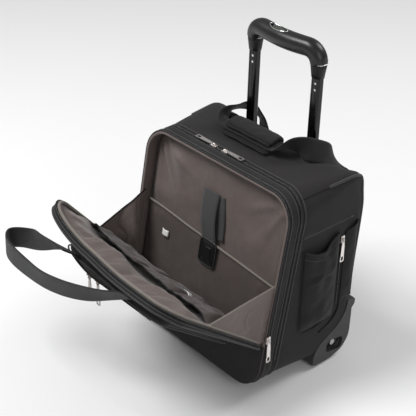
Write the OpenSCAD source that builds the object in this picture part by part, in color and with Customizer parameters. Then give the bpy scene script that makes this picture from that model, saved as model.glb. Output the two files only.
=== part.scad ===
// Soft-sided rolling pilot case, laptop lid open, pull handle part way up.
// Millimetres. +X right, +Y to the back, +Z up. The origin is on the floor,
// at the centre of the front stand's underside.

/* [Case body] */
// Width of the case
case_w = 343; // [330:1:350]
// Height of the fabric body
case_h = 339; // [334:1:344]
// Distance of the back face behind the origin
back_y = 162; // [160:1:168]
// Distance of the frame's front plane before the origin, at the underside
front_reach = 55; // [53:1:57]
// How far the top of that plane is set back
top_setback = 55; // [50:1:60]
// Height of the fabric underside above the floor
floor_gap = 18; // [17:1:20]
// Radius of the front corners
corner_r = 45; // [40:1:50]
// Thickness of the padded walls
wall = 4; // [3:0.5:5]

/* [Laptop section and lid] */
// Depth of the laptop section, front plane to main zip
section_depth = 28; // [27:1:30]
// Height of the lid's fold line above the underside
fold_h = 88; // [84:1:90]
// Angle of the open lid from vertical
lid_open = 52; // [48:1:54]
// Length of the lid from its fold line to its top edge
lid_len = 253.5; // [250:0.5:254]
// Depth of the lid at its top edge
lid_top_d = 12; // [9:1:16]
// Depth of the lid at its fold line
lid_low_d = 7; // [5:1:8]
// Thickness of the pocket on the lid's outer face
front_pocket_t = 21; // [14:1:24]

/* [Pull handle] */
// Half the distance between the two tubes
tube_x = 71.7; // [70:0.1:74]
// Distance of the tubes behind the origin
tube_y = 143.5; // [143:0.5:144]
// Height of the grip's top above the floor, as it stands
grip_top = 550; // [540:1:580]
// Radius of the grip bar
grip_r = 15; // [14:0.5:16]

/* [Wheels] */
// Radius of a wheel
wheel_r = 30; // [29:0.5:31]
// Width of a tyre
tyre_w = 21; // [18:1:22]
// Distance of the axle behind the origin
axle_y = 130; // [128:1:131]

/* [Webbing] */
// Width of the handle webbing
web_w = 38; // [34:1:40]
// Thickness of the handle webbing
web_t = 2.6; // [2:0.2:3]

/* [Hidden] */
$fn = 64;
gap = 0.3;
half_w = case_w / 2;
base_z = floor_gap;
top_z = floor_gap + case_h;
fabric_t = 2.5;
zip_w = 5;
zip_t = 0.9;
black = [0.17, 0.17, 0.18];
charcoal = [0.22, 0.22, 0.23];
webbing = [0.2, 0.2, 0.2];
taupe = [0.42, 0.38, 0.36];
nickel = [0.72, 0.69, 0.67];
plastic = [0.27, 0.27, 0.27];

// Y of the frame's slanted front plane at height z
function front_y(z) = -front_reach + top_setback * (z - base_z) / case_h;
slant = atan(top_setback / case_h);
fold_z = base_z + fold_h;
fold_y = front_y(fold_z);

/* ---- helpers ---- */
// 2D shape drawn in X and Z, extruded from y0 to y1
module extrude_y(y0, y1) {
    translate([0, y1, 0]) rotate([90, 0, 0]) linear_extrude(y1 - y0) children();
}
// 2D shape drawn in Y and Z, extruded from x0 to x1
module extrude_x(x0, x1) {
    translate([x0, 0, 0]) rotate([90, 0, 90]) linear_extrude(x1 - x0) children();
}
// Rectangle with true round corners, centred
module round_rect(w, h, r) {
    square([w - 2 * r, h], center = true);
    square([w, h - 2 * r], center = true);
    for (x = [-1, 1], y = [-1, 1])
        translate([x * (w / 2 - r), y * (h / 2 - r)]) circle(r);
}
// Front-view outline of the case, inset all round
module case_outline(inset) {
    translate([0, base_z + case_h / 2])
        round_rect(case_w - 2 * inset, case_h - 2 * inset, corner_r - inset);
}
// Slab between two planes parallel to the front plane, d0 and d1 behind it
module slanted_slab(d0, d1, z0 = 0, z1 = 500) {
    extrude_x(-half_w - 20, half_w + 20) polygon([
        [front_y(z0) + d0, z0], [front_y(z0) + d1, z0],
        [front_y(z1) + d1, z1], [front_y(z1) + d0, z1]
    ]);
}
// The slice of the case outline that such a slab cuts out
module case_slice(inset, d0, d1, z0 = 0, z1 = 500) {
    intersection() {
        extrude_y(-front_reach - 40, back_y + 20) case_outline(inset);
        slanted_slab(d0, d1, z0, z1);
    }
}
module mirrored(on) {
    if (on) mirror([1, 0, 0]) children();
    else children();
}
module both_sides() {
    children();
    mirror([1, 0, 0]) children();
}
// Closed solid through a list of equal loops of points
module loft(loops) {
    n = len(loops[0]);
    last = len(loops) - 1;
    function at(i, j) = i * n + j % n;
    sides = [for (i = [0:last - 1], j = [0:n - 1]) each [
        [at(i, j), at(i, j + 1), at(i + 1, j + 1)],
        [at(i, j), at(i + 1, j + 1), at(i + 1, j)]
    ]];
    start = [[for (j = [n - 1:-1:0]) j]];
    end = [[for (j = [0:n - 1]) last * n + j]];
    polyhedron([for (loop = loops) each loop], concat(start, sides, end), convexity = 6);
}
function unit(v) = v / norm(v);
// Catmull-Rom point between p[1] and p[2]
function spline(p, t) =
    0.5 * (2 * p[1] + (p[2] - p[0]) * t + (2 * p[0] - 5 * p[1] + 4 * p[2] - p[3]) * t * t
        + (3 * p[1] - p[0] - 3 * p[2] + p[3]) * t * t * t);
function smooth(route, steps) = let (last = len(route) - 1) [
    for (i = [0:last - 1], k = [0:steps - 1])
        spline([route[max(i - 1, 0)], route[i], route[i + 1], route[min(i + 2, last)]],
            k / steps),
    route[last]
];
// Flat webbing along a route. Each row is a point and the direction of the width
module webbing_strap(route, steps) {
    path = smooth(route, steps);
    last = len(path) - 1;
    function at(i) = [path[i][0], path[i][1], path[i][2]];
    function across(i) = unit([path[i][3], path[i][4], path[i][5]]);
    loops = [for (i = [0:last])
        let (ahead = unit(at(min(i + 1, last)) - at(max(i - 1, 0))),
            side = unit(across(i) - ahead * (across(i) * ahead)),
            up = cross(ahead, side))
        [for (c = [[-1, -1], [-1, 1], [1, 1], [1, -1]])
            at(i) + side * c[0] * web_w / 2 + up * c[1] * web_t / 2]];
    loft(loops);
}

/* ---- main case ---- */
rear_r = 30;
rear_low_r = 22;
main_d0 = section_depth + 0.6;
// Outer form of the main compartment, inset all round, from depth d behind the front plane
module main_form(inset, d) {
    hull() {
        case_slice(inset, d, d + 2);
        for (edge = [[rear_r, top_z - rear_r], [rear_low_r, base_z + rear_low_r]])
            translate([0, back_y - edge[0], edge[1]]) rotate([0, 90, 0])
                cylinder(r = edge[0] - inset, h = case_w - 2 * inset, center = true, $fn = 32);
    }
}
tray_w = 224;
tray_front_y = 127;
tray_floor_z = top_z - 58;
tray_t = 2.5;
module tray_space(grow) {
    translate([-tray_w / 2 - grow, tray_front_y - grow, tray_floor_z - grow])
        cube([tray_w + 2 * grow, 60, 80]);
}
module main_shell() {
    color(black) difference() {
        main_form(0, main_d0);
        main_form(wall, main_d0 - 6);
        tray_space(tray_t);
        both_sides() housing_form();
        difference() {
            slanted_slab(main_d0 - 5, main_d0 + zip_w + 0.1);
            case_slice(0.05, main_d0 - 6, main_d0 + zip_w + 1);
        }
    }
}
board_t = 2;
module back_board() {
    color(charcoal) translate([-half_w + 42, back_y - wall - board_t, base_z + 40])
        cube([case_w - 84, board_t, tray_floor_z - base_z - 52]);
}
// Lined recess for the grip, open at the top and at the back
module grip_tray() {
    color(charcoal) difference() {
        intersection() {
            tray_space(tray_t);
            main_form(0.2, main_d0);
        }
        tray_space(0);
        both_sides() tube_slot(lower_tube + [1, 1]);
    }
}
module tube_slot(size) {
    translate([tube_x, tube_y, tray_floor_z]) cube([size[0], size[1], 20], center = true);
}

/* ---- wheels and stand ---- */
housing_x0 = 131;
housing_x1 = half_w + 1.2;
// Side view of a wheel housing: a swept front edge, a rear skid and a rounded skirt
module housing_profile() {
    front_edge = smooth([[78, 8], [80, 29], [92, 45], [110, 55], [128, 65], [142, 78],
        [151, 94], [154, 110]], 4);
    skid = [[back_y + 6, 110], [back_y + 10, 105], [back_y + 9, 96], [back_y + 3, 90]];
    skirt = smooth([[back_y + 3, 60], [back_y + 1, 34], [150, 15], [128, 6], [100, 4], [84, 5]], 4);
    polygon(concat(front_edge, skid, skirt));
}
module housing_form() {
    extrude_x(housing_x0, housing_x1 + 5) housing_profile();
}
window_l = 40;
window_h = 24;
well_x0 = 137;
well_x1 = 166;
axle_r = 3;
wheel_x = (well_x0 + well_x1) / 2;
module wheel_housing(left) {
    mirrored(left) color(plastic) difference() {
        extrude_x(housing_x0, housing_x1) housing_profile();
        translate([well_x0, axle_y, wheel_r]) rotate([0, 90, 0])
            cylinder(r = wheel_r + 3, h = well_x1 - well_x0);
        translate([well_x0, axle_y - wheel_r + 3, -5])
            cube([well_x1 - well_x0, 2 * wheel_r - 6, wheel_r]);
        extrude_x(well_x1 - 1, housing_x1 + 1) translate([axle_y - 1, wheel_r - 1])
            rotate(-8) round_rect(window_l, window_h, 9);
        translate([housing_x0 - 1, axle_y, wheel_r]) rotate([0, 90, 0])
            cylinder(r = axle_r, h = 12);
    }
}
module axle(left) {
    mirrored(left) color(nickel) translate([housing_x0 + 1, axle_y, wheel_r])
        rotate([0, 90, 0]) {
            cylinder(r = axle_r, h = well_x1 - housing_x0 - 1);
            translate([0, 0, well_x1 - housing_x0 - 3.5]) cylinder(r = 5.5, h = 3);
        }
}
hub_r = 20;
hub_clear = 0.05;
module hub(left) {
    mirrored(left) color(plastic) translate([wheel_x, axle_y, wheel_r]) rotate([0, 90, 0])
        difference() {
            cylinder(r = hub_r, h = tyre_w - 4, center = true);
            cylinder(r = axle_r + hub_clear, h = tyre_w, center = true);
            for (side = [-1, 1]) translate([0, 0, side * (tyre_w / 2 - 2)]) difference() {
                cylinder(r = hub_r - 4, h = 6, center = true);
                cylinder(r = 7, h = 7, center = true);
            }
        }
}
module tyre(left) {
    mirrored(left) color(black) translate([wheel_x, axle_y, wheel_r]) rotate([0, 90, 0])
        rotate_extrude() difference() {
            translate([(wheel_r + hub_r) / 2, 0]) round_rect(wheel_r - hub_r, tyre_w, 3);
            translate([hub_r - 2, 0]) square([4, tyre_w - 4], center = true);
        }
}
stand_w = 190;
stand_d = 30;
module front_stand() {
    color(plastic) intersection() {
        extrude_x(-stand_w / 2, stand_w / 2)
            polygon([[-stand_d / 2, 0], [stand_d / 2, 0],
                [stand_d / 2 + 6, base_z], [-stand_d / 2 - 6, base_z]]);
        linear_extrude(60) round_rect(stand_w, stand_d + 12, 8);
    }
}

/* ---- pull handle ---- */
tube_t = 1.2;
upper_tube = [18, 14];
step = [3, 3];
middle_tube = upper_tube + step;
lower_tube = middle_tube + step;
sleeve_tube = lower_tube + step;
sleeve_z0 = 34;
collar_z0 = grip_top - 62;
collar_h = 25;
upper_len = 272;
module tube_profile(size, grooves) {
    difference() {
        round_rect(size[0], size[1], 4);
        round_rect(size[0] - 2 * tube_t, size[1] - 2 * tube_t, 3);
        if (grooves) for (x = [-3.2, 3.2], side = [-1, 1])
            translate([x, side * size[1] / 2]) square([2, 1], center = true);
    }
}
module tube_pair(size, z0, z1, grooves = false) {
    for (side = [-1, 1]) translate([side * tube_x, tube_y, z0])
        linear_extrude(z1 - z0) tube_profile(size, grooves);
}
module handle_sleeves() { color(plastic) tube_pair(sleeve_tube, sleeve_z0, tray_floor_z - tray_t); }
module lower_tubes() { color(black) tube_pair(lower_tube, sleeve_z0 + 1, tray_floor_z + 2); }
module middle_tubes() { color(black) tube_pair(middle_tube, sleeve_z0 + 1, tray_floor_z + 3.5); }
module upper_tubes() { color(black) tube_pair(upper_tube, collar_z0 + 6 - upper_len, collar_z0 + 6, true); }
module sleeve_bracket() {
    color(plastic) translate([-tube_x - 18, tube_y - 14.5, base_z + wall + 0.2])
        cube([2 * tube_x + 36, 12, sleeve_z0 - base_z - wall - 0.2]);
}
bar_z = grip_top - grip_r;
bend_r = 22;
button_l = 40;
button_w = 15;
button_x = -12;
button_t = 6;
module button_outline(grow) {
    translate([button_x, tube_y]) round_rect(button_l + 2 * grow, button_w + 2 * grow,
        button_w / 2 + grow - 0.01);
}
module grip() {
    color(charcoal) difference() {
        union() {
            translate([0, tube_y, bar_z]) rotate([0, 90, 0])
                cylinder(r = grip_r, h = 2 * (tube_x - bend_r), center = true);
            both_sides() translate([tube_x - bend_r, tube_y, bar_z - bend_r])
                rotate([90, 0, 0]) rotate_extrude(angle = 90)
                    translate([bend_r, 0]) circle(grip_r);
        }
        translate([0, 0, bar_z + 6]) linear_extrude(30) button_outline(2.2);
    }
}
module button_bezel() {
    color(nickel) translate([0, 0, bar_z + 6]) linear_extrude(grip_r - 6.5)
        difference() {
            button_outline(2.2);
            button_outline(0.4);
        }
}
module release_button() {
    color([0.45, 0.47, 0.42]) translate([0, 0, bar_z + 9.5]) linear_extrude(button_t)
        button_outline(0);
}
module grip_collars() {
    color(black) for (side = [-1, 1]) translate([side * tube_x, tube_y, collar_z0])
        difference() {
            linear_extrude(collar_h) round_rect(27, 24, 9);
            translate([0, 0, -1]) linear_extrude(7) round_rect(upper_tube[0], upper_tube[1], 4);
        }
}
module collar_rivets() {
    color(nickel) for (side = [-1, 1], z = [8, 19])
        translate([side * tube_x + 2, tube_y - upper_tube[1] / 2, collar_z0 - z])
            rotate([90, 0, 0]) cylinder(r = 2, h = 0.2);
}
rod_r = 2.5;
module release_rods() {
    color(nickel) for (side = [-1, 1])
        translate([side * tube_x, tube_y, collar_z0 + 6 - upper_len + 20])
            cylinder(r = rod_r, h = upper_len - 24);
}

/* ---- side pockets and main zip ---- */
pouch_y0 = 32;
pouch_y1 = 113;
pouch_z0 = 98;
pouch_z1 = 258;
pouch_bulge = 17;
module pouch_section(inset) {
    chord = (pouch_y1 - pouch_y0) / 2;
    r = (chord * chord + pouch_bulge * pouch_bulge) / (2 * pouch_bulge);
    intersection() {
        translate([half_w + pouch_bulge - r, (pouch_y0 + pouch_y1) / 2])
            circle(r - inset, $fn = 128);
        translate([half_w + inset / 2, pouch_y0]) square([60, pouch_y1 - pouch_y0]);
    }
}
module side_pocket(left) {
    mirrored(left) color(black) difference() {
        translate([0, 0, pouch_z0]) linear_extrude(pouch_z1 - pouch_z0) pouch_section(0);
        translate([0, 0, pouch_z0 + fabric_t]) linear_extrude(200) pouch_section(fabric_t);
    }
}
side_zip_y = 121;
side_zip_z0 = 118;
side_zip_z1 = 250;
module side_zip_track() {
    color(charcoal) translate([half_w, side_zip_y - 7, side_zip_z0])
        cube([zip_t, 14, side_zip_z1 - side_zip_z0]);
}
zip_low_z = base_z + 46;
module zip_band(d0, d1, z0) {
    color(charcoal) difference() {
        case_slice(-zip_t, d0, d1, z0);
        case_slice(0, d0 - 1, d1 + 1, z0 - 1);
    }
}
main_zip_d = section_depth + 0.3;
module main_zip_case_side() { zip_band(main_zip_d + gap, main_zip_d + gap + zip_w, zip_low_z); }
module main_zip_front_side() { zip_band(main_zip_d - gap - zip_w, main_zip_d - gap, zip_low_z); }

/* ---- laptop section ---- */
laptop_wall_t = 5;
module laptop_frame() {
    color(black) difference() {
        case_slice(0, 0, section_depth);
        case_slice(wall, -1, section_depth + 1);
    }
}
module laptop_wall() {
    color(taupe) case_slice(wall, section_depth - laptop_wall_t, section_depth);
}
sleeve_top_z = 206;
sleeve_t = 4;
module laptop_sleeve() {
    color(taupe) case_slice(wall + 3, section_depth - laptop_wall_t - sleeve_t,
        section_depth - laptop_wall_t, base_z + 6, sleeve_top_z);
}
strap_w = 34;
strap_t = 2;
strap_x = -8;
strap_d = section_depth - laptop_wall_t - sleeve_t - gap;
strap_top_z = 292;
strap_low_z = 196;
module sleeve_strap() {
    color(webbing) intersection() {
        translate([strap_x - strap_w / 2, -200, 0]) cube([strap_w, 400, 400]);
        slanted_slab(strap_d - strap_t, strap_d, strap_low_z, strap_top_z);
    }
}
tab_w = 40;
tab_h = 46;
module strap_tab() {
    color(black) intersection() {
        extrude_y(-200, 200) translate([strap_x, strap_low_z - tab_h / 2 + 14])
            round_rect(tab_w, tab_h, 8);
        slanted_slab(strap_d - strap_t - 2.4, strap_d - strap_t);
    }
}
// Lower part of the front, below the fold, which stays upright
module front_base_panel() {
    color(black) intersection() {
        extrude_y(-front_reach - 40, 60) case_outline(0.5);
        extrude_x(-half_w, half_w) polygon([
            [front_y(base_z) - 2, base_z], [front_y(base_z), base_z],
            [fold_y - top_setback * 3 / case_h, fold_z - 3],
            [fold_y - 6, fold_z - 3], [front_y(fold_z - 50) - 6, fold_z - 50]
        ]);
    }
}
module lid_zip_frame_side() { zip_band(gap, gap + zip_w, fold_z + 4); }

/* ---- lid, drawn with its fold line on X, its inside towards +Y, its length up Z ---- */
lid_start = 8;
lid_wall = fabric_t;
lid_w = case_w - 1;
lid_r = corner_r - 0.5;
module on_lid() { translate([0, fold_y, fold_z]) rotate([lid_open, 0, 0]) children(); }
function lid_depth(v) = lid_low_d + (lid_top_d - lid_low_d) * v / lid_len;
module lid_outline(inset, low = lid_start) {
    difference() {
        translate([0, lid_len / 2 - 30]) round_rect(lid_w - 2 * inset, lid_len + 60 - 2 * inset,
            lid_r - inset);
        translate([-lid_w, -400 + low]) square([2 * lid_w, 400]);
    }
}
// Wedge between two offsets from the lid's tapered outer face
module lid_wedge(y_in, cut) {
    extrude_x(-half_w, half_w) polygon([
        [y_in, -5], [y_in, lid_len + 5],
        [-lid_depth(lid_len + 5) + cut, lid_len + 5], [-lid_depth(-5) + cut, -5]
    ]);
}
module lid_shell() {
    color(black) on_lid() difference() {
        intersection() {
            extrude_y(-60, 1) lid_outline(0);
            lid_wedge(-gap, 0);
        }
        intersection() {
            extrude_y(-60, 20) lid_outline(lid_wall, lid_start + lid_wall);
            lid_wedge(10, lid_wall);
        }
    }
}
lining_y = -2.5;
module lid_lining() {
    color(taupe) on_lid() extrude_y(lining_y - 1.5, lining_y) lid_outline(lid_wall, lid_start + lid_wall);
}
organizer_t = 12;
module lid_organizer() {
    color(taupe) on_lid() extrude_x(-half_w + 16, half_w - 16) polygon([
        [lining_y, 20], [lining_y + 7, 24], [lining_y + organizer_t, 90],
        [lining_y + organizer_t, 175], [lining_y, 205]
    ]);
}
pocket_w = 250;
pocket_v0 = 18;
pocket_v1 = 212;
module front_pocket() {
    color(black) on_lid() intersection() {
        extrude_y(-80, 0) translate([0, (pocket_v0 + pocket_v1) / 2])
            round_rect(pocket_w, pocket_v1 - pocket_v0, 24);
        extrude_x(-half_w, half_w) polygon([
            [-lid_depth(0), 0], [-lid_depth(lid_len), lid_len],
            [-lid_depth(lid_len) - front_pocket_t, lid_len],
            [-lid_depth(0) - front_pocket_t, 0]
        ]);
    }
}
module lid_zip_lid_side() {
    color(charcoal) on_lid() intersection() {
        extrude_y(-zip_w - gap, -gap) difference() {
            lid_outline(-zip_t, lid_start + 4);
            lid_outline(0, 0);
        }
        extrude_x(-half_w - 5, half_w + 5) polygon([[-zip_w - 2, 0], [0, 0], [0, 400], [-zip_w - 2, 400]]);
    }
}
pocket_zip_v = pocket_v1 - 14;
pocket_zip_w = 190;
lid_taper = atan((lid_top_d - lid_low_d) / lid_len);
// Frame whose Z runs up the outer face of the front pocket and whose -Y points away from it
module on_pocket_face() {
    on_lid() translate([0, -lid_low_d - front_pocket_t / cos(lid_taper), 0]) rotate([lid_taper, 0, 0]) children();
}
module front_pocket_zip() {
    color(charcoal) on_pocket_face() translate([-pocket_zip_w / 2, -zip_t, pocket_zip_v - 5])
        cube([pocket_zip_w, zip_t - 0.05, 10]);
}
gusset_v = 150;
gusset_t = 1.4;
gusset_x = half_w - wall;
module gusset(left) {
    mirrored(left) color(taupe) extrude_x(gusset_x - gusset_t, gusset_x) {
        lid_point = [fold_y - gusset_v * sin(lid_open), fold_z + gusset_v * cos(lid_open)];
        frame_z = fold_z + gusset_v * 0.78;
        polygon([
            [fold_y - 6, fold_z + 8], lid_point + [2, 2],
            [front_y(frame_z) + 8, frame_z], [front_y(fold_z + 12) + 8, fold_z + 12]
        ]);
    }
}

/* ---- webbing handles: points and width directions, chosen round ---- */
// In the lid's frame: X, out of the lid's face (negative), up the lid
front_route = [
    [-78, -15.6, 234, 0, 0, 1], [-112, -17, 231, 0, 0.1, 1], [-150, -25, 219, 0, 0.4, 1],
    [-190, -37, 210, 0, 0.8, 0.6], [-220, -48, 214, 0, 0.8, 0.6], [-232, -58, 222, 0, 0.8, 0.6],
    [-222, -68, 232, 0, 0.8, 0.6], [-190, -73, 240, 0, 0.8, 0.6], [-146, -75, 242, 0, 0.8, 0.7],
    [-96, -74, 243, 0, 0.7, 0.8], [-50, -66, 242, 0, 0.6, 0.8], [-8, -53, 239, 0, 0.5, 0.9],
    [34, -34, 236, 0, 0.2, 1], [62, -20, 234, 0, 0.1, 1], [86, -15.6, 234, 0, 0, 1]
];
module front_handle() { color(webbing) on_lid() webbing_strap(front_route, 2); }
rear_route = [
    [-54, 165, 296, 1, 0, 0.1], [-58, 165.5, 318, 1, 0, 0.2], [-64, 167, 338, 1, 0.1, 0.3],
    [-74, 168, 358, 0.8, 0.3, 0.5], [-92, 163, 375, 0, 0.6, 0.8], [-101, 148, 382, -0.5, 0.5, 0.7],
    [-104, 128, 379, -0.7, 0, 0.7], [-97, 110, 373, -0.5, -0.6, 0.5], [-84, 98, 369, 0, -1, 0.25],
    [-70, 95, 367, 0, -1, 0], [-20, 95, 367, 0, -1, 0], [38, 95, 367, 0, -1, 0],
    [54, 97, 371, 0, -1, 0.35], [75, 106, 380, 0, -0.3, 1], [94, 118, 381, -0.2, 0.4, 1],
    [106, 138, 376, -0.5, 0.6, 0.8], [114, 153, 361, -0.9, 0.5, 0.3],
    [117, 163.3, 342, -1, 0, 0], [118, 165, 324, -1, 0, 0]
];
module rear_handle_strap() { color(webbing) webbing_strap(rear_route, 2); }
wrap_x0 = -72;
wrap_x1 = 36;
wrap_y = 95;
wrap_w = 50;
wrap_z0 = top_z + 0.6;
module rear_handle_wrap() {
    color(black) difference() {
        translate([(wrap_x0 + wrap_x1) / 2, wrap_y, wrap_z0]) linear_extrude(18)
            round_rect(wrap_x1 - wrap_x0, wrap_w, 10);
        translate([wrap_x0 - 1, wrap_y - web_w / 2 - 1, wrap_z0 + 7.2])
            cube([wrap_x1 - wrap_x0 + 2, web_w + 2, web_t + 1.8]);
    }
}

/* ---- zip sliders and pulls, drawn on X-Y with the zip along X and +Z off the fabric ---- */
slider_h = 2.4;
bail_r = 3.6;
wire_r = 0.8;
pivot_h = slider_h + 1.3;
module slider_body(bail_turn = 0) {
    color(nickel) {
        translate([0, 0, gap]) linear_extrude(slider_h - gap) difference() {
            round_rect(14, 8.5, 2.5);
            translate([-7, 0]) circle(1.5);
        }
        translate([0, 0, slider_h - 0.2]) rotate([90, 0, bail_turn]) rotate_extrude(angle = 180)
            translate([bail_r, 0]) circle(wire_r);
    }
}
pull_len = 40;
pull_w = 9;
pull_t = 1.4;
// The pull reaches along +X from the slider's bail
module pull_body() {
    color(nickel) translate([0, 0, pivot_h - pull_t / 2]) linear_extrude(pull_t) difference() {
        union() {
            translate([3.1, 0]) round_rect(8, 5, 1.2);
            polygon([[6, -2.5], [12, -3.3], [pull_len, -pull_w / 2 + 0.4],
                [pull_len, pull_w / 2 - 0.4], [12, 3.3], [6, 2.5]]);
            translate([pull_len - 3, 0]) round_rect(10, pull_w, 2);
        }
        translate([2.95, 0]) round_rect(4.1, 2.6, 0.6);
        translate([pull_len - 4, 0]) round_rect(8, 5, 1.2);
    }
}
// Main zip: on the top face, pulls lying outwards
main_slider_x = [-12, -40];
main_zip_y = front_y(top_z) + main_zip_d;
module at_main_slider(left) {
    translate([main_slider_x[left ? 1 : 0], main_zip_y, top_z + zip_t]) mirrored(left) children();
}
// Lid zip: on the side faces at the fold, pulls hanging down
lid_slider_z = fold_z + 12;
module at_lid_slider(left) {
    mirrored(left) translate([half_w + zip_t, front_y(lid_slider_z) + gap + 2, lid_slider_z])
        rotate([0, 90, 0]) children();
}
// Front pocket zip: under the lid, pulls hanging straight down
pocket_slider_x = [-52, -30];
module at_pocket_slider(x) {
    on_pocket_face() translate([x, -zip_t, pocket_zip_v]) rotate([90, 0, 0]) children();
}
// Side pocket zip: near its top, pull hanging down
side_slider_z = 246;
module at_side_slider() {
    translate([half_w + zip_t, side_zip_y, side_slider_z]) rotate([0, 90, 0]) children();
}
module main_slider(left) { at_main_slider(left) slider_body(); }
module main_pull(left) { at_main_slider(left) pull_body(); }
module lid_slider(left) { at_lid_slider(left) slider_body(); }
module lid_pull(left) { at_lid_slider(left) pull_body(); }
module pocket_slider(x) { at_pocket_slider(x) slider_body(90); }
module pocket_pull(x) {
    at_pocket_slider(x) translate([0, 0, pivot_h]) rotate([-lid_open - lid_taper, 0, 0])
        rotate([0, 0, -90]) translate([0, 0, -pivot_h]) pull_body();
}
module side_slider() { at_side_slider() slider_body(); }
module side_pull() { at_side_slider() pull_body(); }

main_shell();
back_board();
grip_tray();
side_pocket(false);  // side_pocket_right
side_pocket(true);  // side_pocket_left
wheel_housing(false);  // wheel_housing_right
wheel_housing(true);  // wheel_housing_left
front_stand();
handle_sleeves();
sleeve_bracket();
axle(false);  // axle_right
axle(true);  // axle_left
main_zip_case_side();
side_zip_track();
laptop_frame();
laptop_wall();
laptop_sleeve();
front_base_panel();
main_zip_front_side();
lid_zip_frame_side();
lid_shell();
lid_lining();
lid_organizer();
front_pocket();
lid_zip_lid_side();
front_pocket_zip();
gusset(false);  // gusset_right
gusset(true);  // gusset_left
sleeve_strap();
strap_tab();
front_handle();
rear_handle_strap();
rear_handle_wrap();
lower_tubes();
middle_tubes();
upper_tubes();
grip();
grip_collars();
collar_rivets();
release_button();
button_bezel();
release_rods();
tyre(false);  // tyre_right
tyre(true);  // tyre_left
hub(false);  // hub_right
hub(true);  // hub_left
main_slider(false);  // main_slider_right
main_slider(true);  // main_slider_left
lid_slider(false);  // lid_slider_right
lid_slider(true);  // lid_slider_left
pocket_slider(pocket_slider_x[1]);  // pocket_slider_right
pocket_slider(pocket_slider_x[0]);  // pocket_slider_left
side_slider();
main_pull(false);  // main_pull_right
main_pull(true);  // main_pull_left
lid_pull(false);  // lid_pull_right
lid_pull(true);  // lid_pull_left
pocket_pull(pocket_slider_x[1]);  // pocket_pull_right
pocket_pull(pocket_slider_x[0]);  // pocket_pull_left
side_pull();
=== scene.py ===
"""Looks of the soft-sided rolling pilot case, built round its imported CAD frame. Metres, +Z up."""

import math

import bmesh
import bpy
import numpy as np
from mathutils import Matrix, Vector


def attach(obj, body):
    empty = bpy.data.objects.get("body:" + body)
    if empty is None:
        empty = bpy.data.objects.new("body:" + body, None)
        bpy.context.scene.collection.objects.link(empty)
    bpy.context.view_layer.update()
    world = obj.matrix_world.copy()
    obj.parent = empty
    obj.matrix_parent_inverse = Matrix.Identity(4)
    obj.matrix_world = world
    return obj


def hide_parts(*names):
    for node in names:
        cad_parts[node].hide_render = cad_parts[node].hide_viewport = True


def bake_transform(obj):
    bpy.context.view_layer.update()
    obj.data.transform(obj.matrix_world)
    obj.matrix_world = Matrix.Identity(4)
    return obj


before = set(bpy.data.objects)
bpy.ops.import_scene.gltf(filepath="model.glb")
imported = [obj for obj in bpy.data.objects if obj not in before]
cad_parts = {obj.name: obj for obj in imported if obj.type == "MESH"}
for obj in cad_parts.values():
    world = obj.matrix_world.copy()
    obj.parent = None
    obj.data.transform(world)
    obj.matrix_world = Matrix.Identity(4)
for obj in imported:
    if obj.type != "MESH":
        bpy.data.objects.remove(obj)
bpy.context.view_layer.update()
scene = bpy.context.scene

# ---------------------------------------------------------------- sizes shared with the CAD
HALF_W = 0.1715
BASE_Z = 0.018
TOP_Z = 0.357
BACK_Y = 0.162
CORNER_R = 0.045
WALL = 0.004
SETBACK = 0.055 / 0.339
SECTION_D = 0.028
MAIN_ZIP_D = 0.0283
FOLD_Z = 0.106
LID_OPEN = math.radians(52)
LID_LEN = 0.2535
LID_W = 0.171
LID_TRAVEL = math.radians(61.2)
CURL_START = -0.545
CURL_END = -0.030


def front_y(z):
    return -0.055 + SETBACK * (z - BASE_Z)


FOLD_Y = front_y(FOLD_Z)

# ---------------------------------------------------------------- camera, light, floor
AZ, PITCH, ROLL = math.radians(47.73), math.radians(30.71), math.radians(1.72)
ahead = Vector((-math.sin(AZ) * math.cos(PITCH), math.cos(AZ) * math.cos(PITCH), -math.sin(PITCH)))
right = Vector((math.cos(AZ), math.sin(AZ), 0))
up = right.cross(ahead)
cam_x = right * math.cos(ROLL) + up * math.sin(ROLL)
cam_y = up * math.cos(ROLL) - right * math.sin(ROLL)
camera = bpy.data.objects.new("camera", bpy.data.cameras.new("camera"))
scene.collection.objects.link(camera)
camera.matrix_world = Matrix((
    (cam_x.x, cam_y.x, -ahead.x, 1.1674),
    (cam_x.y, cam_y.y, -ahead.y, -1.0777),
    (cam_x.z, cam_y.z, -ahead.z, 1.2127),
    (0, 0, 0, 1),
))
camera.data.sensor_width = 36
camera.data.lens = 97.43
scene.camera = camera


def area_light(name, place, target, size, power):
    data = bpy.data.lights.new(name, "AREA")
    data.shape = "DISK"
    data.size = size
    data.energy = power
    lamp = bpy.data.objects.new(name, data)
    scene.collection.objects.link(lamp)
    lamp.location = place
    lamp.rotation_euler = (Vector(target) - Vector(place)).to_track_quat("-Z", "Y").to_euler()


area_light("key", (-0.9, -1.3, 2.5), (0, 0, 0.2), 1.3, 64)
area_light("fill", (2.3, -0.5, 1.4), (0, 0, 0.2), 1.6, 13)
area_light("rim", (0.6, 2.0, 2.2), (0, 0.1, 0.3), 1.1, 26)
scene.view_settings.view_transform = "Standard"
world = bpy.data.worlds.new("studio")
world.use_nodes = True
world.node_tree.nodes["Background"].inputs["Color"].default_value = (1, 1, 1, 1)
world.node_tree.nodes["Background"].inputs["Strength"].default_value = 0.32
scene.world = world


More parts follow.
